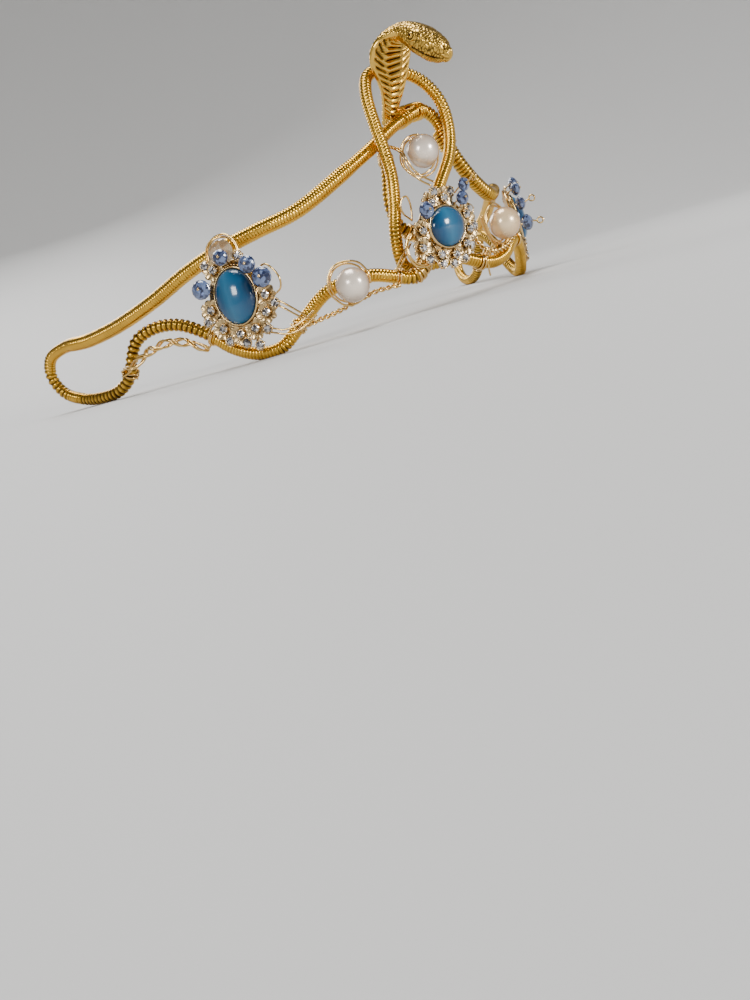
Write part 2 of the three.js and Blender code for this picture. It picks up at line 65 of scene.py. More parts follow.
# %% Rows, and the shift into the frame
MM = 0.001
Bend = namedtuple("Bend", "across back up")
MIDDLE_PEARL = Bend(3, 5, 72)

pearl_low, pearl_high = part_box("pearl_centre")
shift = (pearl_low + pearl_high) / 2 - Vector(MIDDLE_PEARL) * MM
shift.z = 0.0


def place(row):
    """A row in millimetres as a point in the frame."""
    return Vector(row[:3]) * MM + shift


print("shift in mm:", [round(1000 * part, 2) for part in shift])

# %% [markdown]
# ## The camera
#
# The crown is seen from low in front, from the wearer's right. The camera stands just above the
# floor and is rolled a little, as if the head were held on one side.

# %% Make the camera
EYE = Bend(-298, -349, 18)
AIM = Bend(-7, -10, 35)
ROLL = math.radians(-16)
LENS = 32.4
SENSOR = 36.0
AIM_RIGHT = 0.072                # of the long side, from the middle of the image
AIM_UP = 0.275


def new_object(name, data):
    thing = bpy.data.objects.new(name, data)
    bpy.context.scene.collection.objects.link(thing)
    return thing


def aimed_camera():
    """A camera at EYE whose image has the AIM point at the wanted place."""
    focal = LENS / SENSOR
    to_aim = (place(AIM) - place(EYE)).normalized()
    in_camera = Vector((AIM_RIGHT, AIM_UP, -focal)).normalized()
    level = to_aim.to_track_quat("-Z", "Y").to_matrix()
    rolled = level @ Matrix.Rotation(ROLL, 3, "Z")
    turn = (rolled @ in_camera).rotation_difference(to_aim).to_matrix()
    data = bpy.data.cameras.new("camera")
    data.lens = LENS
    data.sensor_width = SENSOR
    data.clip_start = 0.01
    data.clip_end = 50.0
    camera = new_object("camera", data)
    camera.matrix_world = Matrix.Translation(place(EYE)) @ (turn @ rolled).to_4x4()
    bpy.context.scene.camera = camera
    return camera


camera = aimed_camera()
print("camera stands", round(1000 * camera.location.z), "mm above the floor")

# %% [markdown]
# ## Floor and light
#
# Polished gold shows mostly what is around it. A large soft light above, another behind and two
# small ones in front give it bright bands, and the gaps between them give the dark bands that make
# it look like metal. The floor is plain and pale.

# %% Helpers for materials and rings
def set_sockets(node, values):
    """Give each named socket a value, or link it to the output of another node."""
    for name, value in values.items():
        socket = node.inputs[name]
        if isinstance(value, bpy.types.NodeSocket):
            node.id_data.links.new(value, socket)
        else:
            socket.default_value = (*value, 1) if socket.type == "RGBA" else value


def new_material(name, values):
    """A material and its Principled surface, with some of the surface's own values."""
    material = bpy.data.materials.new(name)
    material.use_nodes = True
    surface = material.node_tree.nodes["Principled BSDF"]
    set_sockets(surface, values)
    return material, surface


def turns(count, start=0.0):
    """Even angles once round."""
    return [start + 2 * math.pi * k / count for k in range(count)]


# %% Floor, world and lights
def make_floor(flat, sweep, top):
    """A round floor whose rim sweeps up into a wall, so that no edge shows behind the crown."""
    around, steps = 96, 12
    profile = [(0.02, 0.0), (flat * 0.5, 0.0), (flat, 0.0)]
    for i in range(1, steps + 1):
        turn = i / steps * math.pi / 2
        profile.append((flat + sweep * math.sin(turn), sweep * (1 - math.cos(turn))))
    profile.append((flat + sweep, top))
    points = [(radius * math.cos(turn), radius * math.sin(turn), height)
              for radius, height in profile for turn in turns(around)]
    faces = [tuple(range(around))]
    for low in range(0, len(points) - around, around):
        for k in range(around):
            n = (k + 1) % around
            faces.append((low + k, low + around + k, low + around + n, low + n))
    mesh = bpy.data.meshes.new("floor")
    mesh.from_pydata(points, [], faces)
    mesh.polygons.foreach_set("use_smooth", [True] * len(faces))
    pale, _ = new_material("pale_floor", {"Base Color": (0.56, 0.555, 0.545), "Roughness": 0.75})
    mesh.materials.append(pale)
    new_object("floor", mesh)


MIDDLE = Vector((0, 0, 0.06))    # of the crown, in metres


def soft_light(name, spot, wide, power):
    """A square light that looks at the middle of the crown."""
    data = bpy.data.lights.new(name, "AREA")
    data.size = wide
    data.energy = power
    lamp = new_object(name, data)
    spot = Vector(spot)
    turn = (MIDDLE - spot).to_track_quat("-Z", "Y").to_matrix().to_4x4()
    lamp.matrix_world = Matrix.Translation(spot) @ turn
    lamp.visible_camera = False


def make_world(color, strength):
    world = bpy.data.worlds.new("studio")
    world.use_nodes = True
    set_sockets(world.node_tree.nodes["Background"], {"Color": color, "Strength": strength})
    bpy.context.scene.world = world


make_floor(flat=0.75, sweep=1.0, top=2.6)
make_world(color=(0.80, 0.82, 0.85), strength=0.14)
# Columns: name, place in metres, side, power.
LIGHTS = [
    ("light_above", (0.1, 0.15, 1.4), 0.7, 20), ("light_low_front", (0.35, -1.0, 0.3), 0.22, 9),
    ("light_front_right", (-1.0, -0.5, 0.55), 0.26, 5), ("light_rear", (0.1, 1.2, 0.7), 0.6, 9),
]
for light in LIGHTS:
    soft_light(*light)
print("lights:", len(LIGHTS))

# %% [markdown]
# ## A smooth line through the bends
#
# A curve that only passes near its points would miss the places that the maker measured. The
# centripetal Catmull-Rom spline passes through each one and never kinks between two that are
# close. The line is then sampled at even steps, so that ribs and coils can be spaced by length.

# %% The spline and its even samples
def squared(side, direction):
    """Side, turned as little as needed to stand square to the direction."""
    return (side - direction * side.dot(direction)).normalized()


class Line:
    """A smooth line through rows, with even samples of place, direction and side."""

    def __init__(self, rows, step=0.5):
        self.points = [Vector(row[:3]) for row in rows]
        self.spans = len(self.points) - 1
        fine = 24
        dense = [self.at(i / fine) for i in range(self.spans * fine + 1)]
        lengths = [0.0]
        for a, b in zip(dense, dense[1:]):
            lengths.append(lengths[-1] + (b - a).length)
        self.length = lengths[-1]
        self.row_length = lengths[::fine]
        count = max(2, round(self.length / step))
        self.step = self.length / count
        self.samples = []
        k = 0
        for i in range(count + 1):
            want = i * self.step
            while k < len(lengths) - 2 and lengths[k + 1] < want:
                k += 1
            share = (want - lengths[k]) / max(lengths[k + 1] - lengths[k], 1e-9)
            self.samples.append(dense[k].lerp(dense[k + 1], min(share, 1.0)))
        self.directions = []
        self.sides = []
        for i in range(count + 1):
            direction = self.samples[min(i + 1, count)] - self.samples[max(i - 1, 0)]
            self.directions.append(direction.normalized())
            # Each side carries on from the last one, so that nothing twists along the line.
            side = self.sides[-1] if i else self.directions[0].orthogonal().normalized()
            self.sides.append(squared(side, self.directions[i]))

    def at(self, t):
        """The point at row number t, which may lie between two rows."""
        k = min(int(t), self.spans - 1)
        w = t - k
        p = self.points
        a = p[k - 1] if k > 0 else p[0] * 2 - p[1]
        b, c = p[k], p[k + 1]
        d = p[k + 2] if k + 2 <= self.spans else p[-1] * 2 - p[-2]
        ab, bc, cd = (max((two - one).length, 1e-6) ** 0.5 for one, two in ((a, b), (b, c), (c, d)))
        leave = ((b - a) / ab - (c - a) / (ab + bc) + (c - b) / bc) * bc
        arrive = ((c - b) / bc - (d - b) / (bc + cd) + (d - c) / cd) * bc
        square = (c - b) * 3 - leave * 2 - arrive
        cube = (b - c) * 2 + leave + arrive
        return b + leave * w + square * w * w + cube * w * w * w

    def spot(self, s):
        """Place, direction, side and the other side at length s."""
        x = min(max(s / self.step, 0), len(self.samples) - 1.001)
        i = int(x)
        here, direction, side = (row[i].lerp(row[i + 1], x - i)
                                 for row in (self.samples, self.directions, self.sides))
        direction = direction.normalized()
        side = squared(side, direction)
        return here, direction, side, direction.cross(side)

    def bending(self, s, reach=3.0):
        """Which way the line bends at s: it points inwards, and its size is 1 over the radius."""
        low = self.spot(max(s - reach, 0))[1]
        high = self.spot(min(s + reach, self.length))[1]
        return (high - low) / (2 * reach)


# %% [markdown]
# ## Meshes from rings
#
# Nearly everything here is a skin over a row of rings: ribs, wires, strands and the snake. One
# helper joins the rings, closes the ends and can keep a number with each point, such as how deep
# in a groove it lies, which the material then uses for tarnish and painted shade.

# %% Join rings to a skin
class Skin:
    """Collects points and faces in millimetres, then makes one mesh object."""

    def __init__(self):
        self.points = []
        self.faces = []
        self.depths = []
        self.flat = []

    def rings(self, rings, depths=None, closed=False, flat=False):
        """Joins each ring of points to the next, and the last to the first or each to a cap."""
        sides = len(rings[0])
        base = len(self.points)
        for i, ring in enumerate(rings):
            self.points.extend(ring)
            self.depths.extend(depths[i] if depths else [0.0] * sides)
        joins = len(rings) if closed else len(rings) - 1
        for i in range(joins):
            low = base + i * sides
            high = base + ((i + 1) % len(rings)) * sides
            for k in range(sides):
                n = (k + 1) % sides
                self.face((low + k, low + n, high + n, high + k), flat)
        if not closed:
            last = base + (len(rings) - 1) * sides
            self.face(tuple(base + k for k in reversed(range(sides))), True)
            self.face(tuple(last + k for k in range(sides)), True)

    def deep_rings(self, rings):
        """Rings of points that each come with a depth."""
        self.rings([[point for point, _ in ring] for ring in rings],
                   [[depth for _, depth in ring] for ring in rings])

    def face(self, corners, flat=False):
        self.faces.append(corners)
        self.flat.append(flat)

    def make(self, name, material, slot, replaces=()):
        """One piece that rides on the crown and may stand for solids of the frame."""
        mesh = bpy.data.meshes.new(name)
        mesh.from_pydata([tuple(place(point)) for point in self.points], [], self.faces)
        mesh.polygons.foreach_set("use_smooth", [not flat for flat in self.flat])
        groove = mesh.attributes.new("groove", "FLOAT", "POINT")
        groove.data.foreach_set("value", self.depths)
        mesh.materials.append(material)
        mesh.update()
        thing = new_object(name, mesh)
        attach(thing, "root")
        if replaces:
            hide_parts(*replaces)
        triangles = sum(len(face) - 2 for face in self.faces)
        print(f"{name}: {triangles} triangles")
        return thing


# %% A round wire
def outwards(side, other, turn):
    return side * math.cos(turn) + other * math.sin(turn)


def circle(centre, side, other, radius, sides):
    return [centre + outwards(side, other, turn) * radius for turn in turns(sides)]


ROUNDED = 0.6                    # how far a wire's tip stands out, and how wide it is, in radii


def add_wire(skin, rows, radius, sides=8, step=1.5):
    """A round wire through rows, with its two ends rounded over."""
    line = Line(rows)
    count = max(3, math.ceil(line.length / step))
    rings = []
    for i in range(count + 1):
        centre, _, side, other = line.spot(line.length * i / count)
        rings.append(circle(centre, side, other, radius, sides))
    for index, s, way in ((0, 0, -1), (count + 2, line.length, 1)):
        centre, direction, side, other = line.spot(s)
        tip = centre + direction * way * radius * ROUNDED
        rings.insert(index, circle(tip, side, other, radius * ROUNDED, sides))
    skin.rings(rings)


# %% [markdown]
# ## Tarnish and painted shade, shared by the metals
#
# Costume gold is never one even colour. It is bright where fingers and cloth rub it and brown in
# the grooves where nothing reaches, with faint cloudy patches between. The dark in the grooves is
# painted shade as well as tarnish. The same idea serves the tube, the cast snake and the pale
# settings, so it is a node group. Each metal gives it its own colours, patch size and limits of
# roughness.

# %% The tarnish and painted shade group
def add_node(tree, kind, values, **settings):
    """A shader node with its settings and sockets. It gives back the node's outputs."""
    node = tree.nodes.new("ShaderNode" + kind)
    for name, value in settings.items():
        setattr(node, name, value)
    set_sockets(node, values)
    return node.outputs


def new_group(name, inputs, outputs):
    """An empty node group. A socket given as None is a colour, any other is a number."""
    group = bpy.data.node_groups.new(name, "ShaderNodeTree")
    for way, sockets in (("INPUT", inputs), ("OUTPUT", outputs)):
        for label, value in sockets.items():
            kind = "NodeSocketColor" if value is None else "NodeSocketFloat"
            socket = group.interface.new_socket(name=label, in_out=way, socket_type=kind)
            if value is not None:
                socket.default_value = value
    given = group.nodes.new("NodeGroupInput").outputs
    return group, given, group.nodes.new("NodeGroupOutput")


def make_tarnish_and_shade_group():
    group, given, result = new_group(
        "tarnish", {"Polished": None, "Tarnished": None, "Groove": 0.0, "Patches": 120.0,
                    "Smooth": 0.15, "Dull": 0.45},
        {"Color": None, "Roughness": 0.0, "Height": 0.0})
    spot = add_node(group, "TexCoord", {})["Object"]
    cloud = add_node(group, "TexNoise", {"Detail": 4, "Vector": spot, "Scale": given["Patches"]})
    patch = add_node(group, "MapRange", {"From Min": 0.45, "From Max": 0.8, "To Max": 0.35,
                                         "Value": cloud["Fac"]})
    # Groove is painted shade and tarnish, the cloudy patches are tarnish; both blend to the dark
    # colour.
    total = add_node(group, "Math", {0: given["Groove"], 1: patch["Result"]},
                     operation="ADD", use_clamp=True)["Value"]
    blend = add_node(group, "Mix", {"Factor": total, "A": given["Polished"],
                                    "B": given["Tarnished"]}, data_type="RGBA")
    dull = add_node(group, "MapRange", {"Value": total, "To Min": given["Smooth"],
                                        "To Max": given["Dull"]})
    grain = add_node(group, "TexNoise", {"Scale": 1400, "Detail": 3, "Vector": spot})
    set_sockets(result, {"Color": blend["Result"], "Roughness": dull["Result"],
                         "Height": grain["Fac"]})
    return group


# %% Metals
def grouped_material(name, group, given, values, strength, distance):
    """A material whose looks come from a node group, and the group's node."""
    material, surface = new_material(name, values)
    effect = material.node_tree.nodes.new("ShaderNodeGroup")
    effect.node_tree = group
    set_sockets(effect, given)
    bump = add_node(material.node_tree, "Bump", {"Strength": strength, "Distance": distance,
                                                 "Height": effect.outputs["Height"]})
    set_sockets(surface, {"Base Color": effect.outputs["Color"], "Normal": bump["Normal"]})
    return material, surface, effect


TARNISH_AND_SHADE = make_tarnish_and_shade_group()


def make_metal(name, polished, tarnished_and_shaded, patches, smooth, dull, grain):
    """Gold that is dull and dark in its grooves, as tarnish and painted shade, with a fine grain on
    it.
    """
    material, surface, wear_and_shade = grouped_material(
        name, TARNISH_AND_SHADE, {"Polished": polished, "Tarnished": tarnished_and_shaded, "Patches": patches,
                        "Smooth": smooth, "Dull": dull}, {"Metallic": 1.0}, grain, 0.0001)
    groove = add_node(material.node_tree, "Attribute", {}, attribute_name="groove")
    set_sockets(wear_and_shade, {"Groove": groove["Fac"]})
    set_sockets(surface, {"Roughness": wear_and_shade.outputs["Roughness"]})
    return material


# Columns after the name: polished colour, colour of tarnish and painted shade, patch size,
# roughness limits, grain.
gold_tube = make_metal("gold_tube", (0.78, 0.45, 0.055), (0.06, 0.022, 0.003), 90, 0.12, 0.42, 0.15)
cast_gold = make_metal("cast_gold", (0.80, 0.49, 0.09), (0.035, 0.014, 0.003), 160, 0.16, 0.5, 0.5)
pale_gold = make_metal("pale_gold", (0.71, 0.51, 0.25), (0.08, 0.040, 0.014), 200, 0.12, 0.5, 0.2)
wire_gold = make_metal("wire_gold", (0.80, 0.53, 0.18), (0.15, 0.07, 0.018), 150, 0.1, 0.4, 0.1)
print("metals:", ", ".join(metal.name for metal in (gold_tube, cast_gold, pale_gold, wire_gold)))

# %% [markdown]
# ## The long gooseneck tube
#
# The tube is a wire wound into a closed coil. Where it runs straight its turns touch and it looks
# almost smooth. Where it bends, the turns keep their width, so on the outside of the bend they
# part and dark gaps show between them. A bump texture can't do that, because the gaps really
# open, so each turn is modelled: two shoulders, a crown and a groove, spaced by the bend.

# %% The route of the tube
# Columns: across, back, up, in millimetres.
CROSSBAR = [
    (28.3, 16, 77.4), (27.6, 17.7, 87), (21, 18.5, 93), (10, 18, 91.5), (-2, 17.5, 87.5),
    (-15, 17.5, 81),
]
ARM_UPPER_RIGHT = [
    (-37, 19, 71.5), (-62, 27, 61), (-80, 39, 57.5), (-95, 54, 54), (-107, 70, 49),
    (-119, 88, 42), (-132, 111, 36), (-143, 134, 33.5),
]
REAR_LOOP_RIGHT = [(-151, 153, 34), (-156.5, 166, 30), (-158, 170, 21), (-156, 164, 11)]
ARM_LOWER_RIGHT = [
    (-151, 151, 5), (-146.5, 134, 3.1), (-141, 119, 4.2), (-136.5, 109, 10), (-134.5, 104, 18),
    (-131, 99, 25.5), (-124, 89, 29), (-116, 76, 27), (-109, 63, 19), (-103, 51, 8.5),
    (-96, 41, 3.1), (-88, 32.5, 3.1), (-78, 25, 11.5), (-66, 17, 21), (-55, 10.5, 23.5),
    (-45, 5, 22.5), (-36, 1, 19), (-28, -2, 16.5),
]
CREST = [
    (-20.5, -2.5, 21), (-14.5, 0, 30), (-8, 2, 39), (0, 3, 48), (9, 4.2, 57), (20, 6.5, 68),
    (27, 9.5, 81), (28.5, 12.5, 95), (23, 15.5, 106), (14, 18.8, 112.5), (3, 20.5, 115.5),
    (-7, 19, 112.5), (-13, 15.5, 104), (-16, 11.5, 90), (-17, 8.5, 77), (-19, 5.6, 64),
    (-24, 3, 50), (-28.5, 2.2, 38), (-27.5, 5, 27),
]
ARM_LOWER_LEFT = [
    (-22, 8.5, 21), (-11, 5, 20), (2, -2.2, 19), (13, -3.4, 14.4), (23.5, -2, 12.4),
    (34, 0.5, 14), (44, 5, 18.5), (54, 11, 20), (64, 20, 13), (72, 31, 3.1), (79, 42, 3.1),
    (87, 57, 11), (93.5, 70, 22), (100, 84, 28), (108.5, 98, 26.5), (114, 108, 18.5),
    (118, 116, 9.5), (123, 128, 4), (129, 142, 3.1),
]
REAR_LOOP_LEFT = [(136, 155, 6.5), (142.5, 164, 14), (147, 165, 23), (146.5, 156, 30)]
ARM_UPPER_LEFT = [
    (142.5, 144, 33), (135, 128, 34), (124, 108, 37), (112, 88, 42), (99.5, 70, 47),
    (87, 54, 50), (75, 40, 49), (62, 28.5, 46.5), (51, 20, 47), (40, 15.5, 54),
    (33, 14.5, 63), (29.8, 15.1, 70.5), (28.5, 15.7, 76),
]
TAIL = [
    (-10.8, 16.6, 75.8), (-12.8, 15, 71), (-15.8, 13.2, 63.8), (-19.4, 11.6, 55),
    (-20.6, 10.6, 48.3), (-19.4, 10.2, 42.6), (-15.8, 9.4, 38), (-10.6, 8.8, 35),
]

ARM_RADIUS = 3.8
TUBE_RADIUS = 3.3
CREST_RADIUS = 3.1
STRETCHES = [
    ("crossbar_tube", CROSSBAR, TUBE_RADIUS),
    ("arm_upper_right", ARM_UPPER_RIGHT, ARM_RADIUS),
    ("rear_loop_right", REAR_LOOP_RIGHT, TUBE_RADIUS),
    ("arm_lower_right", ARM_LOWER_RIGHT, TUBE_RADIUS),
    ("crest_loop", CREST, CREST_RADIUS),
    ("arm_lower_left", ARM_LOWER_LEFT, TUBE_RADIUS),
    ("rear_loop_left", REAR_LOOP_LEFT, TUBE_RADIUS),
    ("arm_upper_left", ARM_UPPER_LEFT, ARM_RADIUS),
]
tube_line = Line([row for stretch in STRETCHES for row in stretch[1]])
print("the tube is", round(tube_line.length), "mm long")

# %% [markdown]
# The turns of the coil keep their own width, `TURN_WIDE`. The middle line of the tube has to grow
# in a bend so that the turns can touch on the inside, and the same growth opens the outside. The
# gap at each point round a turn is what is left over, and it sets how deep the groove looks: how
# deep it is cut and how dark it is painted. That dark is tarnish and painted shade in the gap.

# %% Ribs along a line
TURN_WIDE = 1.45
WIDEST = 3.1                     # from turn to turn where they have parted most
SIDES = 22
SHALLOW = 0.09                   # groove between turns that touch
UNEVEN = 0.2                     # how much deeper some of those grooves are
DEEP = 0.95                      # groove between turns that have parted
FULL_GAP = 0.87                  # the gap at which a groove is that deep
SHOULDER = 0.14                  # from a turn's crown down to its two shoulders
DENTED = 0.10                    # how far the crowns of some turns are pressed in
TIGHT = 0.012                    # bends gentler than this, in 1/mm, keep the turns closed
OPENING = 1.3                    # how fast sharper bends part the turns
WORN_FLAT = 0.03                 # where the tube stands, its turns are worn level with this


def unevenness(s, often, lane):
    """A share from 0 to 1 that wanders along the tube, differently in each lane."""
    return 0.5 + 0.5 * noise.noise(Vector((s * often, *lane)))


def rib(spot, groove_centre, radius, inward, pitch, half, shallow):
    """The four rings of one turn: shoulder, crown, shoulder and groove, each point with a depth
    that sets its painted shade and tarnish.
    """
    centre, direction, side, other = spot
    columns = []
    for turn in turns(SIDES):
        out = outwards(side, other, turn)
        room = max(pitch * (1 - inward.dot(out) * radius), 0.35)
        reach = min(half, room * 0.46)
        share = min(max(room - 2 * reach, 0.0) / FULL_GAP, 1.0)
        depth = shallow + (DEEP - shallow) * share
        # Painted shade and tarnish: the groove is darker, most where the turns part and its gap
        # opens.
        dark = min(0.16 + 2.2 * (shallow - SHALLOW) + 0.8 * share, 1.0)
        edge = centre + out * (radius - min(SHOULDER, depth))
        columns.append(((edge - direction * reach, dark * 0.3), (centre + out * radius, 0.0),
                        (edge + direction * reach, dark * 0.3),
                        (groove_centre + out * (radius - depth), dark)))
        for point, _ in columns[-1]:
            point.z = max(point.z, WORN_FLAT)
    return zip(*columns)


def add_ribs(skin, line, start, end, radius_at, slack_at):
    """Turns of the coil from length start to end. Slack opens them even where it is straight."""
    rings = []
    s = start
    while s < end:
        radius = radius_at(s)
        inward = line.bending(s)
        slack = slack_at(s)
        opened = max(inward.length - TIGHT, 0.0) * radius
        pitch = min(TURN_WIDE * (1 + slack + opened * OPENING), WIDEST, max(end - s, 0.3))
        half = TURN_WIDE * (0.45 - 0.14 * min(slack, 1.0))
        shallow = SHALLOW + UNEVEN * max(unevenness(s, 0.8, (0.37, 1.9)) - 0.5, 0.0) * 2
        radius -= DENTED * unevenness(s, 0.55, (4.1, 2.3))
        groove_centre = line.spot(min(s + pitch / 2, end))[0]
        rings.extend(rib(line.spot(s), groove_centre, radius, inward, pitch, half, shallow))
        s += pitch
    skin.deep_rings(rings)


# %% Dress each stretch of the tube
Span = namedtuple("Span", "name first low high radius")
FADE = 9.0                       # length over which one radius passes into the next
SLACK_FADE = 6.0                 # length over which slack comes and goes
# Columns: stretch, first row, last row, slack of the turns between them.
OPENED = [
    ("crossbar_tube", 1, 4, 0.1), ("rear_loop_right", 2, 3, 1.0), ("arm_lower_right", 0, 8, 1.1),
    ("crest_loop", 6, 9, 0.15), ("arm_lower_left", 0, 1, 0.3), ("arm_upper_left", 8, 12, 0.25),
    ("arm_lower_left", 10, 17, 0.7),
]


def tube_spans():
    """Where each stretch lies: the number of its first row, and its lengths along the tube."""
    at = tube_line.row_length
    spans = []
    first = 0
    for name, rows, radius in STRETCHES:
        last = min(first + len(rows), len(at) - 1)
        spans.append(Span(name, first, at[first], at[last], radius))
        first = last
    return spans


SPANS = tube_spans()
first_row = {span.name: span.first for span in SPANS}
SLACK_SPANS = [[tube_line.row_length[first_row[name] + row] for row in (low, high)] + [slack]
               for name, low, high, slack in OPENED]


def tube_radius(s):
    for span, after in zip(SPANS, SPANS[1:] + SPANS[-1:]):
        if s <= span.high:
            share = max(s - (span.high - FADE), 0.0) / FADE
            return span.radius + (after.radius - span.radius) * share
    return SPANS[-1].radius


def tube_slack(s):
    return max([0.0] + [slack * min((s - low) / SLACK_FADE + 1, (high - s) / SLACK_FADE + 1, 1.0)
                        for low, high, slack in SLACK_SPANS])


for span in SPANS:
    skin = Skin()
    add_ribs(skin, tube_line, span.low, span.high, tube_radius, tube_slack)
    skin.make("ribbed_" + span.name, gold_tube, "gold_tube", [span.name])

tail_skin = Skin()
tail_line = Line(TAIL)
add_ribs(tail_skin, tail_line, 0, tail_line.length, lambda s: CREST_RADIUS, lambda s: 0.6)
tail_skin.make("ribbed_tail", gold_tube, "gold_tube", ["tail_tube"])

# %% [markdown]
# ## A seat on the band
#
# Brooches and pearls face outwards, each its own way. A seat holds such a place: its own x runs
# along the brow, y up and z out of the crown, all in millimetres. Everything on a brooch can then
# be laid out flat, as a jeweller does on the bench.

# %% Seats
class Seat:
    def __init__(self, across, back, up, turn=0, tilt=0, lean=0):
        turn, tilt, lean = math.radians(turn), math.radians(tilt), math.radians(lean)
        self.middle = Vector((across, back, up))
        self.out = Vector((math.sin(turn) * math.cos(tilt), -math.cos(turn) * math.cos(tilt),
                           math.sin(tilt)))
        along = Vector((math.cos(turn), math.sin(turn), 0))
        rise = self.out.cross(along)
        self.along = along * math.cos(lean) + rise * math.sin(lean)
        self.rise = self.out.cross(self.along)

    def point(self, x, y, z):
        return self.middle + self.along * x + self.rise * y + self.out * z

    def ring(self, x, y, z, wide, high, sides, start=0.0):
        """An ellipse parallel to the plate."""
        return [self.point(x + wide * math.cos(turn), y + high * math.sin(turn), z)
                for turn in turns(sides, start)]


# %% [markdown]
# ## The brooches
#
# Each brooch is an oval cabochon in a bezel with a crowded border. The border mixes small
# flowers, each with a stone on its middle, single stones in claw cups that stand out on short
# bars, and faceted glass beads. The table of each brooch gives the kind, its place as an angle
# round the cabochon from its right side, its reach beyond the cabochon's edge, and the size of a
# bead.

# %% Brooch tables
Item = namedtuple("Item", "kind at reach size lift", defaults=(0, 0))
Brooch = namedtuple("Brooch", "name seat half_wide half_high ring")


def brooch(name, seat, half_wide, half_high, **kinds):
    """A brooch whose border lists its items kind by kind."""
    return Brooch(name, seat, half_wide, half_high,
                  [Item(kind, *row) for kind, rows in kinds.items() for row in rows])


FRONT = brooch(
    "front", Seat(-7, -6.4, 34.4), 10.2, 9.3,
    floret=[(14, 4.2), (78, 4), (112, 4), (176, 4.4), (202, 8.2), (240, 4.2), (276, 4.2),
            (312, 4.2), (344, 4.2)],
    chaton=[(222, 9), (247, 8), (268, 7.8), (292, 8), (317, 7), (350, 7.4), (18, 7.8),
            (64, 7.8), (96, 7.4)],
    crystal=[(142, 5.6, 4), (46, 5.6, 3.4), (51, 12, 3.2)])
RIGHT = brooch(
    "right", Seat(-97, 42.4, 31, -50, 10, 2), 10, 13,
    floret=[(122, 4.8), (188, 4.6), (224, 5), (258, 4.6), (289, 5), (322, 5.6), (348, 4.4)],
    chaton=[(68, 6), (126, 9.6), (199, 8.6), (240, 8.6), (266, 9), (282, 12.4), (303, 9.4),
            (337, 9)],
    crystal=[(86, 4.4, 3.7, 4.2), (40, 4.6, 4.2), (10, 7, 4.8), (157, 5.6, 4.7)],
    disc=[(94, 8.4, 6.3)])
LEFT = brooch(
    "left", Seat(84.6, 42.2, 30.5, 50, 3, 0), 10, 13,
    floret=[(52, 5.2), (18, 5.2), (342, 5.2), (300, 5.2), (264, 5.2), (228, 5.2)],
    chaton=[(35, 9.4), (0, 9), (282, 9.8), (246, 9.8), (320, 9.6)],
    crystal=[(88, 5.6, 4.2), (124, 5.6, 3.9), (158, 5.6, 3.9), (192, 6.4, 4.6)])
BROOCHES = (FRONT, RIGHT, LEFT)

PLATE_THICK = 1.4
PLATE_RIM = 4.6                  # how far the plate reaches beyond the cabochon
BEZEL_HIGH = 2.8
GAP = 0.3                        # between a stone or bead and the metal under it
FLORET_RADIUS = 5.6
CUP_RADIUS = 2.8
GIRDLE_HIGH, DOME_HIGH = 1.2, 5.75   # the two parts of a cabochon
CLAW_WIRE, PIN_WIRE, BAR_WIRE = 0.36, 0.4, 0.75


def item_place(brooch, item):
    turn = math.radians(item.at)
    return ((brooch.half_wide + item.reach) * math.cos(turn),
            (brooch.half_high + item.reach) * math.sin(turn))


# %% [markdown]
# ### Flowers and cups
#
# A petal is a shallow dish: narrow at the middle of the flower, round at its tip, with a raised
# rim. Eight of them stand round each stone. A cup is a short tapered pipe with claws bent over
# the stone. Both are swept by hand from small sections, because a subdivided block would lose the
# thin edges that catch the light.

# %% Petals and claws
def add_petal(skin, seat, x, y, z, turn, reach, half):
    """A dished petal from near (x, y) out to reach, in the direction turn."""
    rows, across, thick = 7, 6, 0.55
    wide_row = across + 1
    dx, dy = math.cos(turn), math.sin(turn)
    top, under = [], []
    for i in range(rows):
        t = i / (rows - 1)
        out = reach * (0.22 + 0.78 * t)
        wide = half * (0.30 + 0.85 * math.sin(math.pi * (0.12 + 0.74 * t)) ** 1.2)
        if i == rows - 1:
            wide *= 0.45
        lift = z + 0.5 + 0.9 * math.sin(math.pi * 0.62 * t) - 0.25 * t
        for k in range(wide_row):
            u = k / across * 2 - 1
            rim = 0.34 * u * u + 0.22 * t ** 4
            px = x + dx * out - dy * wide * u
            py = y + dy * out + dx * wide * u
            top.append(seat.point(px, py, lift + rim))
            under.append(seat.point(px, py, lift + rim - thick))
            # Painted shade: each petal is darker along its middle and towards its inner end at the
            # flower's heart.
            skin.depths.append(max(0.0, 0.75 * (1 - abs(u)) * (1 - i / rows)))
    base = len(skin.points)
    count = len(top)
    skin.points.extend(top + under)
    # Painted shade: the underside of each petal is darkened.
    skin.depths.extend([0.6] * count)
    for i in range(rows - 1):
        for k in range(across):
            a = base + i * wide_row + k
            b = a + wide_row
            skin.face((a, b, b + 1, a + 1))
            skin.face((a + count, a + 1 + count, b + 1 + count, b + count))
    edge = list(range(across))
    edge += [i * wide_row + across for i in range(rows)]
    edge += [(rows - 1) * wide_row + k for k in reversed(range(across))]
    edge += [i * wide_row for i in reversed(range(1, rows - 1))]
    for a, b in zip(edge, edge[1:] + edge[:1]):
        skin.face((base + a, base + b, base + b + count, base + a + count), True)


def add_pipe(skin, seat, x, y, profile, sides):
    """A turned shape on the plate from rows of radius and height."""
    skin.rings([seat.ring(x, y, height, radius, radius, sides) for radius, height in profile])


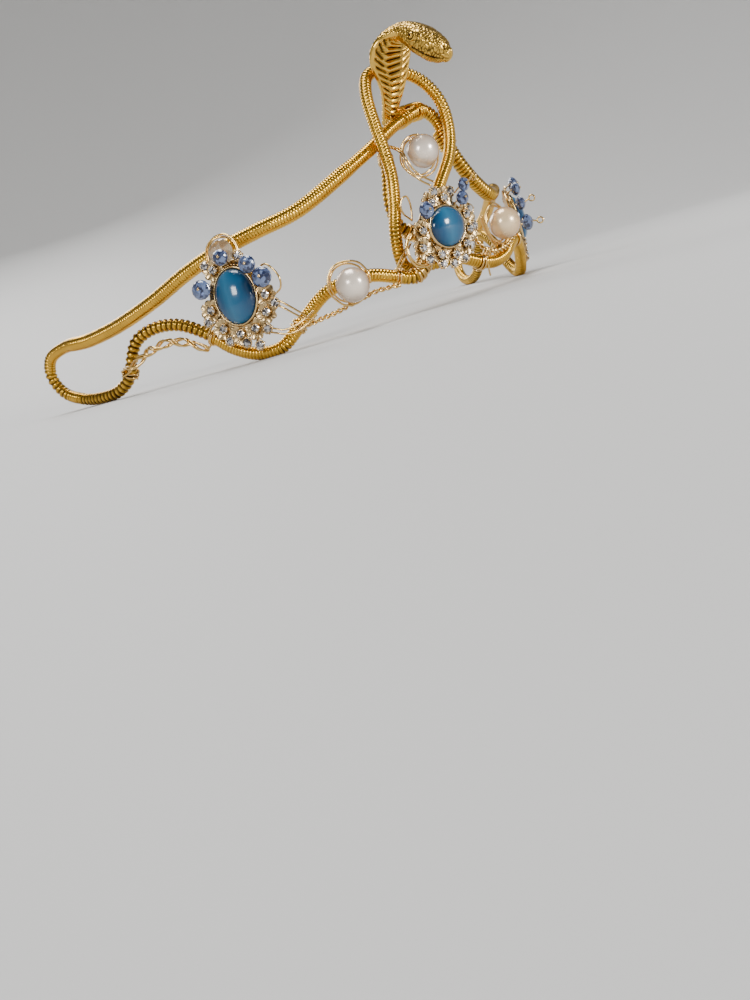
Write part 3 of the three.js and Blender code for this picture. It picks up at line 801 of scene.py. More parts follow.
def add_claws(skin, seat, x, y, radius, base, top, count, start):
    """Thin bars that rise outside a stone and bend over its edge."""
    for turn in turns(count, start):
        dx, dy = math.cos(turn), math.sin(turn)
        rows = [seat.point(x + dx * r, y + dy * r, h) for r, h in (
            (radius + 0.25, base), (radius + 0.35, (base + top) / 2), (radius + 0.1, top),
            (radius - 0.55, top + 0.35))]
        add_wire(skin, rows, CLAW_WIRE, sides=6, step=0.8)


# %% [markdown]
# ### Cut stones
#
# A rhinestone is foiled behind, so it throws light back like a mirror that is broken into facets.
# A flat table, eight large facets and a belt of small ones are enough at this size. Each one is
# turned a little, because no two stones in hand-set work line up.

# %% Stones and beads
def add_facets(skin, seat, x, y, profile, sides, turn, turned):
    """Rings of flat facets from rows of radius and height. Some are turned half a facet."""
    skin.rings([seat.ring(x, y, height, radius, radius, sides,
                          turn + (math.pi / sides if turned(i) else 0))
                for i, (radius, height) in enumerate(profile)], flat=True)


def add_cut_stone(skin, seat, x, y, z, radius, turn):
    """Table, star, main facets and girdle, all flat."""
    levels = ((1.0, 0.0), (1.0, 0.18), (0.80, 0.52), (0.55, 0.80))
    profile = [(share * radius, z + rise * radius * 0.75) for share, rise in levels]
    add_facets(skin, seat, x, y, profile, 16, turn, lambda i: i == 2)


def add_faceted_bead(skin, seat, x, y, z, radius, half_high, turn, sides=14, rows=7):
    """A rondelle: rings of flat facets, each ring turned half a facet from the last."""
    profile = []
    for i in range(rows + 1):
        share = i / rows * 2 - 1
        wide = radius * (0.42 + 0.58 * math.cos(share * math.pi / 2) ** 0.75)
        profile.append((wide, z + half_high * share))
    add_facets(skin, seat, x, y, profile, sides, turn, lambda i: i % 2)


# %% The painted facet glints group
def make_painted_facets_group():
    """Painted glints and painted dark reflections: light and dark facets of one size, which a cut
    stone shows whatever is around it.
    """
    group, given, result = new_group("facets", {"Light": None, "Dark": None, "Facets": 900.0},
                                     {"Color": None, "Height": 0.0})
    spot = add_node(group, "TexCoord", {})["Object"]
    cells = add_node(group, "TexVoronoi", {"Vector": spot, "Scale": given["Facets"]})
    parts = add_node(group, "SeparateColor", {"Color": cells["Color"]})
    steep = add_node(group, "MapRange", {"From Min": 0.25, "From Max": 0.75,
                                         "Value": parts["Red"]})
    blend = add_node(group, "Mix", {"Factor": steep["Result"], "A": given["Dark"],
                                    "B": given["Light"]}, data_type="RGBA")
    set_sockets(result, {"Color": blend["Result"], "Height": parts["Green"]})
    return group


PAINTED_FACETS = make_painted_facets_group()


def stone_material(name, light, dark, facets, clear, metallic):
    """Cut glass: clear lets light through, metallic stands for foil behind it. Light and dark are
    the colours of its painted glints and painted dark reflections.
    """
    return grouped_material(
        name, PAINTED_FACETS, {"Light": light, "Dark": dark, "Facets": facets},
        {"Roughness": 0.04, "Transmission Weight": clear, "Metallic": metallic, "IOR": 1.6,
         "Coat Weight": 0.5}, 0.35, 0.0003)[0]


# Columns after the name: light and dark facet colours, whose patchwork is painted glints and
# painted dark reflections, then facet size, clearness and metallic.
rhinestone = stone_material("rhinestone", (0.92, 0.90, 0.90), (0.10, 0.09, 0.09), 1100, 0.0, 0.9)
blue_crystal = stone_material("blue_crystal", (0.21, 0.29, 0.52), (0.014, 0.026, 0.09), 620, 0.4,
                              0.0)
clear_crystal = stone_material("clear_crystal", (0.95, 0.84, 0.64), (0.50, 0.36, 0.20), 420, 0.7,
                               0.0)
print("stones:", ", ".join(stone.name for stone in (rhinestone, blue_crystal, clear_crystal)))

# %% [markdown]
# ### Setting the three brooches
#
# The metal of one brooch is a single casting on the real thing, so it is one mesh: plate, bezel
# with a milled edge, bars, cups, petals and claws. Its small stones are a second mesh, with its
# own finish. Both take the place of the brooch's solid.

# %% Plate and bezel
OVAL_SIDES = 72


def oval_rings(brooch, profile):
    """Ovals round the cabochon from rows of reach beyond its edge and height."""
    return [brooch.seat.ring(0, 0, height, brooch.half_wide + out, brooch.half_high + out,
                             OVAL_SIDES) for out, height in profile]


def add_bezel(skin, brooch):
    """The plate, a thin wall that leans in over the stone, and a milled wire round its foot."""
    skin.rings(oval_rings(brooch, [(PLATE_RIM - 0.5, 0.0), (PLATE_RIM, 0.35), (PLATE_RIM, 1.0),
                                   (PLATE_RIM - 0.5, PLATE_THICK)]))
    wall = [(1.25, PLATE_THICK - 0.1), (1.25, 3.0), (0.75, 4.2), (0.25, 4.35), (0.25, 3.4),
            (0.35, PLATE_THICK - 0.1)]
    # Painted shade: the wall is darker at its foot and most on its inner side next to the stone.
    skin.rings(oval_rings(brooch, wall), closed=True,
               depths=[[depth] * OVAL_SIDES for depth in (0.5, 0.2, 0.0, 0.0, 0.6, 0.9)])
    bead = [(0.28, PLATE_THICK), (0.52, PLATE_THICK + 0.3), (0.5, PLATE_THICK + 0.75),
            (0.22, PLATE_THICK + 1.0)]
    milled, out = 52, 1.75
    for turn in turns(milled):
        x = (brooch.half_wide + out) * math.cos(turn)
        y = (brooch.half_high + out) * math.sin(turn)
        add_pipe(skin, brooch.seat, x, y, bead, sides=6)


# %% Flowers and cups on the plate
def add_floret(metal, stones, seat, x, y, turn, seed):
    for i, around in enumerate(turns(8, turn)):
        lift = PLATE_THICK - 0.15 + (0.35 if i % 2 else 0.0)
        add_petal(metal, seat, x, y, lift, around, FLORET_RADIUS - 0.15, 1.65)
    cup = [(1.2, 0.4), (1.5, 1.9), (2.2, 3.2), (2.3, 3.6), (1.9, 3.6), (1.7, 3.2)]
    add_pipe(metal, seat, x, y, cup, sides=16)
    add_claws(metal, seat, x, y, 2.1, 2.4, 3.9, 6, turn)
    add_cut_stone(stones, seat, x, y, 3.35, 2.05, seed)


def add_chaton(metal, stones, seat, x, y, seed):
    reach = math.hypot(x, y)
    dx, dy = x / reach, y / reach
    bar = [seat.point(x - dx * out, y - dy * out, height)
           for out, height in ((7.5, 0.9), (4, 0.8), (0.5, 0.8))]
    add_wire(metal, bar, BAR_WIRE, step=1.2)
    cup = [(1.1, 0.25), (1.7, 0.6), (2.35, 1.9), (CUP_RADIUS - 0.1, 2.3), (2.55, 2.75),
           (2.1, 2.75), (2.0, 2.2)]
    add_pipe(metal, seat, x, y, cup, sides=18)
    add_claws(metal, seat, x, y, 2.4, 1.8, 3.1, 4, seed)
    add_cut_stone(stones, seat, x, y, 2.35, 2.2, seed)


# %% Beads on their pins
def bead_place(brooch, item):
    """Where a bead or disc sits, and its half height."""
    x, y = item_place(brooch, item)
    if item.kind == "disc":
        half, base = item.size * 0.3, PLATE_THICK + GAP
    else:
        half, base = item.size * 0.62, BEZEL_HIGH + PLATE_THICK + GAP + item.lift
    return x, y, base + half, half


def add_bead_pin(skin, seat, x, y, z, half):
    """The wire that holds a bead: up from the plate, through it, to a small ball on its face."""
    face = z + half
    add_wire(skin, [seat.point(x * 0.86, y * 0.86, 1.0), seat.point(x, y, z - half - 0.4),
                    seat.point(x, y, face + 0.25)], PIN_WIRE, sides=6, step=1.0)
    ball = [(0.35, face - 0.05), (0.72, face + 0.25), (0.6, face + 0.6), (0.25, face + 0.8)]
    add_pipe(skin, seat, x, y, ball, sides=8)


def make_bead(brooch, item, metal, number, chance):
    """A bead or the clear disc as its own piece, and its pin in the brooch's metal."""
    x, y, z, half = bead_place(brooch, item)
    add_bead_pin(metal, brooch.seat, x, y, z, half)
    bead = Skin()
    if item.kind == "disc":
        add_faceted_bead(bead, brooch.seat, x, y, z, item.size, half, 0.1, sides=16, rows=5)
        bead.make("faceted_disc_" + brooch.name, clear_crystal, "clear_glass",
                  ["clear_disc_" + brooch.name])
    else:
        add_faceted_bead(bead, brooch.seat, x, y, z, item.size, half, chance.uniform(0, 1))
        bead.make(f"faceted_bead_{brooch.name}_{number}", blue_crystal, "blue_glass",
                  [f"blue_crystal_{brooch.name}_{number}"])


# %% Make the brooches
def make_brooch(brooch):
    chance = random.Random(brooch.name)
    metal, stones = Skin(), Skin()
    add_bezel(metal, brooch)
    number = 0
    for item in brooch.ring:
        x, y = item_place(brooch, item)
        if item.kind == "floret":
            add_floret(metal, stones, brooch.seat, x, y, math.radians(item.at),
                       chance.uniform(0, 1))
        elif item.kind == "chaton":
            add_chaton(metal, stones, brooch.seat, x, y, chance.uniform(0, 1))
        else:
            number += 1
            make_bead(brooch, item, metal, number, chance)
    node = "brooch_setting_" + brooch.name
    metal.make("setting_" + brooch.name, pale_gold, "pale_gold", [node])
    stones.make("stones_" + brooch.name, rhinestone, "pale_gold", [node])


for one in BROOCHES:
    make_brooch(one)

# %% [markdown]
# ### The cabochons
#
# The blue stones are milky, with silky fibres that gather light in a soft band, like a cat's eye.
# The band is a painted sheen, fixed in the stone's colour across its short axis, and the colour
# is darker towards both ends; the sharp window of light comes from the clear coat. Each point of
# the dome keeps where it lies on the oval, from -1 to 1 both ways, so that one material serves
# stones of different sizes.

# %% Cabochon stone
# Columns: place across the stone, from 0 to 1, and the colour there: a painted sheen band,
# darker towards both ends.
CABOCHON_SHEEN_BANDS = [
    (0.0, (0.002, 0.020, 0.060)), (0.24, (0.006, 0.065, 0.155)), (0.46, (0.022, 0.135, 0.25)),
    (0.64, (0.010, 0.09, 0.19)), (1.0, (0.003, 0.026, 0.075)),
]


def make_cabochon_material():
    material, surface = new_material("blue_cabochon", {
        "Roughness": 0.16, "Specular IOR Level": 0.3, "Coat Weight": 0.55, "Coat Roughness": 0.02})
    tree = material.node_tree
    oval = add_node(tree, "Attribute", {}, attribute_name="oval")["Vector"]
    across = add_node(tree, "SeparateXYZ", {"Vector": oval})["X"]
    stretch = add_node(tree, "Mapping", {"Scale": (26, 1.6, 1.6), "Vector": oval})["Vector"]
    fibres = add_node(tree, "TexNoise", {"Scale": 1.0, "Detail": 5, "Vector": stretch})
    slide = add_node(tree, "MapRange", {"From Min": -1.0, "Value": across})
    stir = add_node(tree, "Math", {0: fibres["Fac"], 1: 0.10, 2: slide["Result"]},
                    operation="MULTIPLY_ADD")
    sheen_band = tree.nodes.new("ShaderNodeValToRGB")
    stops = sheen_band.color_ramp.elements
    stops[0].position, stops[1].position = CABOCHON_SHEEN_BANDS[0][0], CABOCHON_SHEEN_BANDS[-1][0]
    for position, _ in CABOCHON_SHEEN_BANDS[1:-1]:
        stops.new(position)
    for stop, (_, color) in zip(stops, CABOCHON_SHEEN_BANDS):
        stop.color = (*color, 1)
    set_sockets(sheen_band, {"Fac": stir["Value"]})
    set_sockets(surface, {"Base Color": sheen_band.outputs["Color"]})
    return material


# %% Domes
cabochon_blue = make_cabochon_material()


def make_cabochon(brooch):
    """A dome that is a little flatter on top than an ellipsoid, with a straight girdle."""
    around, rows = 64, 22
    base = PLATE_THICK + GAP
    # Columns: share of the oval in the shape, share that the material sees, height.
    levels = [(0.98, 1.0, base)]
    for i in range(rows + 1):
        turn = i / rows * math.pi / 2
        share = max(math.cos(turn) ** 0.92, 0.012)
        height = base + GIRDLE_HIGH + DOME_HIGH * math.sin(turn) ** 0.95
        levels.append((share, share, height))
    skin = Skin()
    skin.rings([brooch.seat.ring(0, 0, height, brooch.half_wide * share,
                                 brooch.half_high * share, around)
                for share, _, height in levels])
    stone = skin.make("cabochon_stone_" + brooch.name, cabochon_blue, "blue_cabochon",
                      ["cabochon_" + brooch.name])
    oval = stone.data.attributes.new("oval", "FLOAT_VECTOR", "POINT")
    oval.data.foreach_set("vector", [part for _, seen, _ in levels for turn in turns(around)
                                     for part in (seen * math.cos(turn), seen * math.sin(turn),
                                                  0.0)])


for one in BROOCHES:
    make_cabochon(one)

# %% [markdown]
# ## The cobra
#
# The snake is cast in one piece and a little antiqued. Its neck rises behind the loop, spreads
# into a hood and bends over forwards to a heavy head. On its front the hood is hollow on both
# sides of a raised column of belly plates, each lapping over the next, and ribs slant outwards to
# a thick rim. Its back and head carry small pebbled scales.
#
# It is one long skin over a bent spine. Each section starts as an ellipse and is then pushed in
# or out by what lies there: plates, slanting ribs, scales, brows, the line of the mouth. How deep
# a point lies in a recess darkens it, as antique tarnish and painted shade.

# %% Sections and places of the snake
# Columns: across, back, up, width, thickness, in millimetres, from the root to the snout.
COBRA = [
    (4.6, 25.2, 87, 8, 6), (4.6, 24.8, 93.5, 8.6, 6), (4.4, 21, 99, 10, 6),
    (3.8, 16, 105, 14, 6), (3, 12.5, 111, 19.5, 6), (2.2, 10, 116.5, 24, 6.2),
    (2, 7.5, 121, 23, 6.8), (2.8, 3.5, 124.5, 16.5, 7.4), (4, -1.5, 124.6, 11.4, 8.4),
    (5.2, -6.5, 121.4, 12, 10.4), (6.5, -11, 116.8, 13.4, 12.4), (7.8, -15.2, 112.2, 12.6, 12.6),
    (8.8, -18.6, 108.8, 10, 10.6), (9.5, -20.8, 106.6, 6.4, 7),
]
HOOD_STARTS, HOOD_FULL, HOOD_CLOSES, HOOD_ENDS = 0.4, 3.4, 6.6, 7.8   # row numbers
HEAD_STARTS, HEAD_FULL, EYE_ROW, NOSTRIL_ROW = 7.6, 9.2, 10.0, 12.6
PLATE_LONG = 2.9                 # from plate to plate along the belly
SCALE, FINE_SCALE = 1.75, 1.3    # across one scale on the back and inside the hood
SCALE_DEEP = 0.34
HEAD_MIDDLE = 6.5                # how far across the middle of the head lies
COBRA_EYES = [(0.3, -11.4, 119.4), (12.7, -11.4, 119.4)]
COBRA_FOOT = [(2, 25.2, 92), (14, 25.4, 96), (26, 25.6, 95.5)]


# %% Smooth steps, bells and scales
def ease(low, high, value):
    """0 below low, 1 above high and smooth between them."""
    share = min(max((value - low) / (high - low), 0.0), 1.0)
    return share * share * (3 - 2 * share)


def bell(value, middle, half):
    return math.exp(-((value - middle) / half) ** 2)


def row_value(rows, column, t):
    """A column of a table between two rows, joined smoothly."""
    k = min(int(t), len(rows) - 2)
    w = t - k
    a = rows[max(k - 1, 0)][column]
    b = rows[k][column]
    c = rows[k + 1][column]
    d = rows[min(k + 2, len(rows) - 1)][column]
    return b + 0.5 * w * (c - a + w * (2 * a - 5 * b + 4 * c - d + w * (3 * (b - c) + d - a)))


def pebbles(point, size):
    """How close a point is to the edge between two scales: 1 on the edge, 0 inside."""
    distances = noise.voronoi(point / size)[0]
    return 1 - ease(0.02, 0.22, distances[1] - distances[0])


# %% Relief of the skin
def cobra_relief(t, arc, x, y, half_wide, point):
    """How far the skin stands out at a place, and how deep in a recess it is, which darkens it as
    tarnish and painted shade.
    """
    hood = ease(HOOD_STARTS, HOOD_FULL, t) * (1 - ease(HOOD_CLOSES, HOOD_ENDS, t))
    head = ease(HEAD_STARTS, HEAD_FULL, t)
    out, deep = 0.0, 0.0
    side = abs(x)
    if y < 0.12 and head < 1:
        column = (1 - ease(0.34, 0.44, side)) * (1 - head) * min(1.0, 0.4 - y * 4)
        bar = math.sin((arc / PLATE_LONG % 1.0) * math.pi)
        out += column * (0.95 * bar - 0.45)
        deep += column * (1 - ease(0.15, 0.6, bar))
        valley = hood * ease(0.40, 0.50, side) * (1 - ease(0.84, 0.92, side))
        slope = (side - 0.4) * half_wide * 0.8
        ridge = math.sin(((arc - slope) / PLATE_LONG % 1.0) * math.pi)
        out += valley * (0.85 * ridge - 0.5 - 0.8 * bell(side, 0.62, 0.2))
        deep += valley * (1 - ease(0.2, 0.75, ridge)) * 0.95
        grains = pebbles(point, FINE_SCALE) * valley * ease(5.0, 5.8, t)
        out -= 0.3 * grains
        deep += 0.6 * grains
        rim = hood * bell(side, 0.93, 0.07)
        out += rim * 0.6
        deep -= rim * 0.5
    if y > -0.1 or head > 0.3:
        above = max(head, ease(-0.1, 0.15, y))
        edge = pebbles(point, SCALE) * above * (0.6 if y < -0.25 else 1.0)
        out -= SCALE_DEEP * edge
        deep += 0.85 * edge
    if head > 0:
        brow = bell(t, EYE_ROW - 0.1, 0.55) * bell(y, 0.62, 0.22) * ease(0.3, 0.7, side)
        out += head * 0.8 * brow
        cheek = bell(t, 9.3, 0.8) * bell(y, -0.1, 0.4) * ease(0.5, 0.9, side)
        out += head * 0.7 * cheek
        mouth = bell(y, -0.34, 0.075) * ease(9.5, 10.1, t)
        out -= head * 0.75 * mouth
        deep += head * 1.2 * mouth
        jaw = ease(-0.40, -0.50, y) if y < -0.40 else 0.0
        out -= head * 0.35 * jaw * ease(9.5, 10.5, t)
        nostril = bell(t, NOSTRIL_ROW, 0.22) * bell(side, 0.55, 0.16) * ease(0.3, 0.5, y)
        out -= 0.7 * nostril
        deep += 1.0 * nostril
    return out, min(max(deep, 0.0), 1.0)


# %% The skin over the sections
def add_cobra_skin(skin, steps=430, around=96):
    spine = Line(COBRA)
    last = len(COBRA) - 1
    rings = []
    arc = 0.0
    before = None
    for i in range(steps + 1):
        t = last * i / steps
        centre = spine.at(t)
        arc += (centre - before).length if before is not None else 0.0
        before = centre
        tangent = (spine.at(min(t + 0.05, last)) - spine.at(max(t - 0.05, 0))).normalized()
        dorsal = tangent.cross(Vector((1, 0, 0))).normalized()
        aside = dorsal.cross(tangent).normalized()
        half_wide = row_value(COBRA, 3, t) / 2
        half_thick = row_value(COBRA, 4, t) / 2
        square = 2 + 0.5 * ease(HEAD_STARTS, HEAD_FULL, t)
        ring = []
        for turn in turns(around):
            x, y = math.cos(turn), math.sin(turn)
            fuller = (abs(x) ** square + abs(y) ** square) ** (-1 / square)
            x, y = x * fuller, y * fuller
            flat = aside * x * half_wide + dorsal * y * half_thick
            normal = (aside * x / half_wide + dorsal * y / half_thick).normalized()
            out, deep = cobra_relief(t, arc, x, y, half_wide, centre + flat)
            ring.append((centre + flat + normal * out, deep))
        rings.append(ring)
    tip = rings[-1]
    middle = sum((point for point, _ in tip), Vector()) / around
    for j in range(1, 9):
        turn = j / 9 * math.pi / 2
        rings.append([(middle + (point - middle) * math.cos(turn)
                       + tangent * 2.4 * math.sin(turn), deep * 0.5) for point, deep in tip])
    skin.deep_rings(rings)


# %% Eyes and foot
def add_ball(skin, centre, radius, groove=0.0, around=20, rows=12):
    rings = []
    for i in range(rows + 1):
        turn = math.pi * i / rows
        wide = max(math.sin(turn), 0.02) * radius
        rings.append(circle(centre + Vector((0, 0, -math.cos(turn) * radius)),
                            Vector((1, 0, 0)), Vector((0, 1, 0)), wide, around))
    skin.rings(rings, [[groove] * around] * (rows + 1))


def add_ring(skin, centre, axis, radius, wire, groove=0.0, around=28, sides=8):
    side = axis.orthogonal().normalized()
    other = axis.cross(side).normalized()
    rings = []
    for turn in turns(around):
        out = outwards(side, other, turn)
        rings.append(circle(centre + out * radius, out, axis, wire, sides))
    skin.rings(rings, [[groove] * sides] * around, closed=True)


cobra_skin = Skin()
add_cobra_skin(cobra_skin)
for across, back, up in COBRA_EYES:
    eye = Vector((across, back, up))
    look = Vector((across - HEAD_MIDDLE, -1.2, 1.6)).normalized()
    add_ball(cobra_skin, eye, 1.7)
    add_ring(cobra_skin, eye + look * 0.3, look, 2.0, 0.55)
    add_ring(cobra_skin, eye + look * 0.75, look, 1.5, 0.25, groove=1.0)
    add_ball(cobra_skin, eye + look * 1.1, 0.8, groove=1.0, around=12, rows=8)
add_wire(cobra_skin, COBRA_FOOT, 2.5, sides=20, step=1.0)
cobra_skin.make("cobra", cast_gold, "cast_gold", ["cobra_figure"])

# %% [markdown]
# ## The pearls
#
# An imitation pearl is a ball dipped again and again in lacquer, so its light comes from several
# depths: a soft body and a sharp shine on top. Towards the rim its colour is painted much darker
# by a layer weight, which is painted shade. The ball is never quite round.

# %% Pearls
def make_pearl_material(name, body, rim):
    material, surface = new_material(name, {"Coat Weight": 0.8, "Coat Roughness": 0.06,
                                            "Metallic": 0.35})
    tree = material.node_tree
    facing = add_node(tree, "LayerWeight", {"Blend": 0.5})["Facing"]
    spot = add_node(tree, "TexCoord", {})["Object"]
    cloud = add_node(tree, "TexNoise", {"Scale": 150, "Detail": 3, "Vector": spot})["Fac"]
    # Painted shade: the colour darkens towards the rim.
    rim_shade = add_node(tree, "Mix", {"A": body, "B": rim, "Factor": facing}, data_type="RGBA")
    clouded = add_node(tree, "Mix", {"A": rim_shade["Result"], "B": (0.96, 0.93, 0.88),
                                     "Factor": cloud}, data_type="RGBA", blend_type="MULTIPLY")
    shine = add_node(tree, "MapRange", {"To Min": 0.18, "To Max": 0.34, "Value": cloud})
    set_sockets(surface, {"Base Color": clouded["Result"], "Roughness": shine["Result"]})
    return material


# Body colour, then the much darker rim colour, which is painted shade.
white_pearl = make_pearl_material("white_pearl", (0.95, 0.85, 0.74), (0.30, 0.18, 0.11))
cream_pearl = make_pearl_material("cream_pearl", (0.98, 0.76, 0.47), (0.48, 0.23, 0.07))
PEARL_RADIUS = 8.0
PEARLS = [
    ("centre", Seat(*MIDDLE_PEARL, -15), white_pearl, 225),
    ("right", Seat(-61.3, 0.4, 21, -32), white_pearl, 135),
    ("left", Seat(35, -4, 28.8, 14), cream_pearl, 150),
]


# %% Make the pearls
def make_pearl(name, seat, material):
    """A ball that is a little uneven. Its first and last rings are kept open by a hair."""
    skin = Skin()
    around, rows = 56, 36
    rings = []
    for i in range(rows + 1):
        turn = math.pi * i / rows
        ring = []
        for angle in turns(around):
            out = Vector((math.sin(turn) * math.cos(angle), math.sin(turn) * math.sin(angle),
                          -math.cos(turn)))
            radius = PEARL_RADIUS * (0.985 + 0.018 * noise.noise(out * 1.3 + seat.middle))
            if i in (0, rows):
                out = (out + Vector((math.cos(angle), math.sin(angle), 0)) * 0.02).normalized()
            ring.append(seat.middle + out * radius)
        rings.append(ring)
    skin.rings(rings)
    skin.make("pearl_bead_" + name, material, "pearl", ["pearl_" + name])


for name, seat, material, _ in PEARLS:
    make_pearl(name, seat, material)

# %% [markdown]
# ## Wire work
#
# Everything is tied on with thin gold wire, mostly in pairs. Double loops lie round the pearls,
# short twisted strands bridge the bends, and tight windings hold the tube where it meets itself,
# the snake and the brooches. Hand-wound wire is never even, so each winding drifts a little.

# %% Ways to wind a wire
# Radii of the wires.
LOOSE_WIRE, LOOP_WIRE, TIE_WIRE, STRAND_WIRE = 0.48, 0.5, 0.55, 0.58
WINDING_SIDES = 18               # places in one turn of a winding


def wavy(value, seed, size):
    """A slow, small wander that is the same each time."""
    return noise.noise(Vector((value, seed, 0.5))) * size


# Where the wires of a strand stand round it, in shares of a turn.
TWO_WIRES = (0, 0.5)
TWO_PAIRS = (0, 0.13, 0.5, 0.63)


def add_loop(skin, seat, x, y, z, radius, low, high, seed):
    """An arc of wire round (x, y) on a seat, between two angles in degrees."""
    rows = []
    steps = max(6, round((high - low) / 12))
    for i in range(steps + 1):
        turn = math.radians(low + (high - low) * i / steps)
        away = radius + wavy(i * 0.31, seed, 0.5)
        rows.append(seat.point(x + away * math.cos(turn), y + away * math.sin(turn),
                               z + wavy(i * 0.27, seed + 3, 0.7)))
    add_wire(skin, rows, LOOP_WIRE, step=1.0)


def add_strand(skin, rows, seed, shares=TWO_WIRES, spread=0.66, pitch=6.5, loose=0.0):
    """Wires twisted round one another along a line. Loose strands swell between their ends."""
    line = Line(rows)
    steps = math.ceil(line.length / 0.9)
    for share in shares:
        half = int(2 * share)
        path = []
        for i in range(steps + 1):
            s = line.length * i / steps
            centre, _, side, other = line.spot(s)
            turn = 2 * math.pi * (share + s / pitch) + wavy(s * 0.1, seed + half, 1.2)
            swell = spread * (1 + loose * (0.5 + math.sin(math.pi * s / line.length)
                                           + wavy(s * 0.2, seed - half, 0.8)))
            path.append(centre + outwards(side, other, turn) * swell)
        add_wire(skin, path, STRAND_WIRE, step=0.8)


def add_winding(skin, line, start, end, radius, wire, pitch, seed, flat=None):
    """Turns of wire round a line. flat makes them oval, to hold two things together."""
    path = []
    steps = math.ceil((end - start) / pitch * WINDING_SIDES)
    for i in range(steps + 1):
        s = start + (end - start) * i / steps
        centre, direction, side, other = line.spot(s)
        if flat is not None:
            side = squared(flat, direction)
            other = direction.cross(side)
        turn = 2 * math.pi * i / WINDING_SIDES
        lean = direction * wavy(i * 0.06, seed, 0.9)
        long = radius if flat is None else radius + flat.length / 2
        path.append(centre + side * math.cos(turn) * long + other * math.sin(turn) * radius + lean)
    add_wire(skin, path, wire, step=0.9)


def nearest(line, point):
    """The length along a line that comes closest to a point."""
    spots = range(len(line.samples))
    return min(spots, key=lambda i: (line.samples[i] - point).length) * line.step


# %% Double loops round the pearls
LOOP_RADII = (8.7, 9.9)
LOOP_ASIDE, LOOP_BEHIND = 1.9, 3.6
for name, seat, _, aside in PEARLS:
    loops = Skin()
    x = LOOP_ASIDE * math.cos(math.radians(aside))
    y = LOOP_ASIDE * math.sin(math.radians(aside))
    for k, radius in enumerate(LOOP_RADII):
        add_loop(loops, seat, x, y, -LOOP_BEHIND + 0.8 * k, radius, aside - 150, aside + 160,
                 seed=k + aside)
    pin = [seat.point(0, 0, -PEARL_RADIUS - 1.6), seat.point(0, 0, -PEARL_RADIUS + 1)]
    add_wire(loops, pin, LOOP_WIRE)
    loops.make("pearl_loops_" + name, wire_gold, "pale_gold", ["pearl_wire_" + name])

# %% Twisted strands
RIGHT_REAR = [(-141, 107, 12), (-136, 97, 15), (-128, 85, 20), (-119.5, 73, 19), (-112, 61, 12)]
RIGHT_FRONT = [
    (-83, 20.5, 9), (-76, 14.5, 10.2), (-67.5, 9.6, 11.4), (-57.5, 6.6, 13.4),
    (-47, 2.6, 15.2), (-38, -3, 14.8),
]
LEFT_FRONT = [(15, -7, 18.6), (23.5, -5.3, 16.7), (34, -2.6, 17.8), (45, 1.4, 22.2), (53, 6, 25)]
LEFT_REAR = [(97, 66, 14.5), (104, 79, 20), (111.5, 93, 20), (118, 104, 15), (123, 113, 12)]
STRANDS = [
    ("right_rear", RIGHT_REAR, TWO_PAIRS, 1.05, 21, 0.45),
    ("right_front", RIGHT_FRONT, TWO_WIRES, 0.66, 6.5, 0.1),
    ("left_front", LEFT_FRONT, TWO_WIRES, 0.66, 6.5, 0.15),
    ("left_rear", LEFT_REAR, TWO_PAIRS, 1.0, 21, 0.4),
]
for name, rows, shares, spread, pitch, loose in STRANDS:
    strand = Skin()
    add_strand(strand, rows, len(name), shares, spread, pitch, loose)
    for tip, inside in ((rows[0], rows[1]), (rows[-1], rows[-2])):
        tip, inside = Vector(tip), Vector(inside)
        s = nearest(tube_line, tip)
        on_tube = tube_line.spot(s)[0]
        away = (tip - on_tube).normalized()
        add_winding(strand, tube_line, s - 1.8, s + 1.8, tube_radius(s) + 0.45, TIE_WIRE, 1.45,
                    seed=tip.x)
        add_wire(strand, [inside.lerp(tip, 0.9), tip, on_tube + away * (tube_radius(s) + 0.4)],
                 TIE_WIRE, step=0.8)
    strand.make("strand_" + name, wire_gold, "pale_gold", ["braid_" + name])

# %% Windings on the tube
ties = Skin()
gold_ties = Skin()
JOINT = Line([(29.8, 15.1, 70.5), (28.5, 15.7, 76), (28.3, 16, 77.4), (27.6, 17.7, 87)])
add_winding(gold_ties, JOINT, 2.0, 11.5, radius=4.25, wire=0.75, pitch=1.6, seed=1)
bend = nearest(tube_line, Vector((-24, -3, 18.6)))
add_winding(ties, tube_line, bend - 4, bend + 5.5, radius=3.75, wire=0.65, pitch=1.4, seed=2)
FOOT = Line([(2, 21.5, 89.5), (14, 22, 93.2), (24, 22, 94)])
for start in (3.5, 14.5):
    add_winding(gold_ties, FOOT, start, start + 4.5, radius=3.95, wire=0.7, pitch=1.6,
                seed=start, flat=Vector((0, 7.4, 1.2)))
tail_end = tail_line.length
for start, end, seed in ((tail_end - 7, tail_end - 1.5, 5), (0.8, 5.2, 6)):
    add_winding(ties, tail_line, start, end, CREST_RADIUS + 0.4, TIE_WIRE, 1.3, seed)
ties.make("tie_windings", wire_gold, "pale_gold")
gold_ties.make("crossbar_windings", gold_tube, "gold_tube")

# %% [markdown]
# ### Loose wires round the brooches
#
# The wires that are seen one by one each have their own rows. Those that belong to a brooch are
# given on its seat, so x runs along the brow, y up and z out. The others use across, back and up.

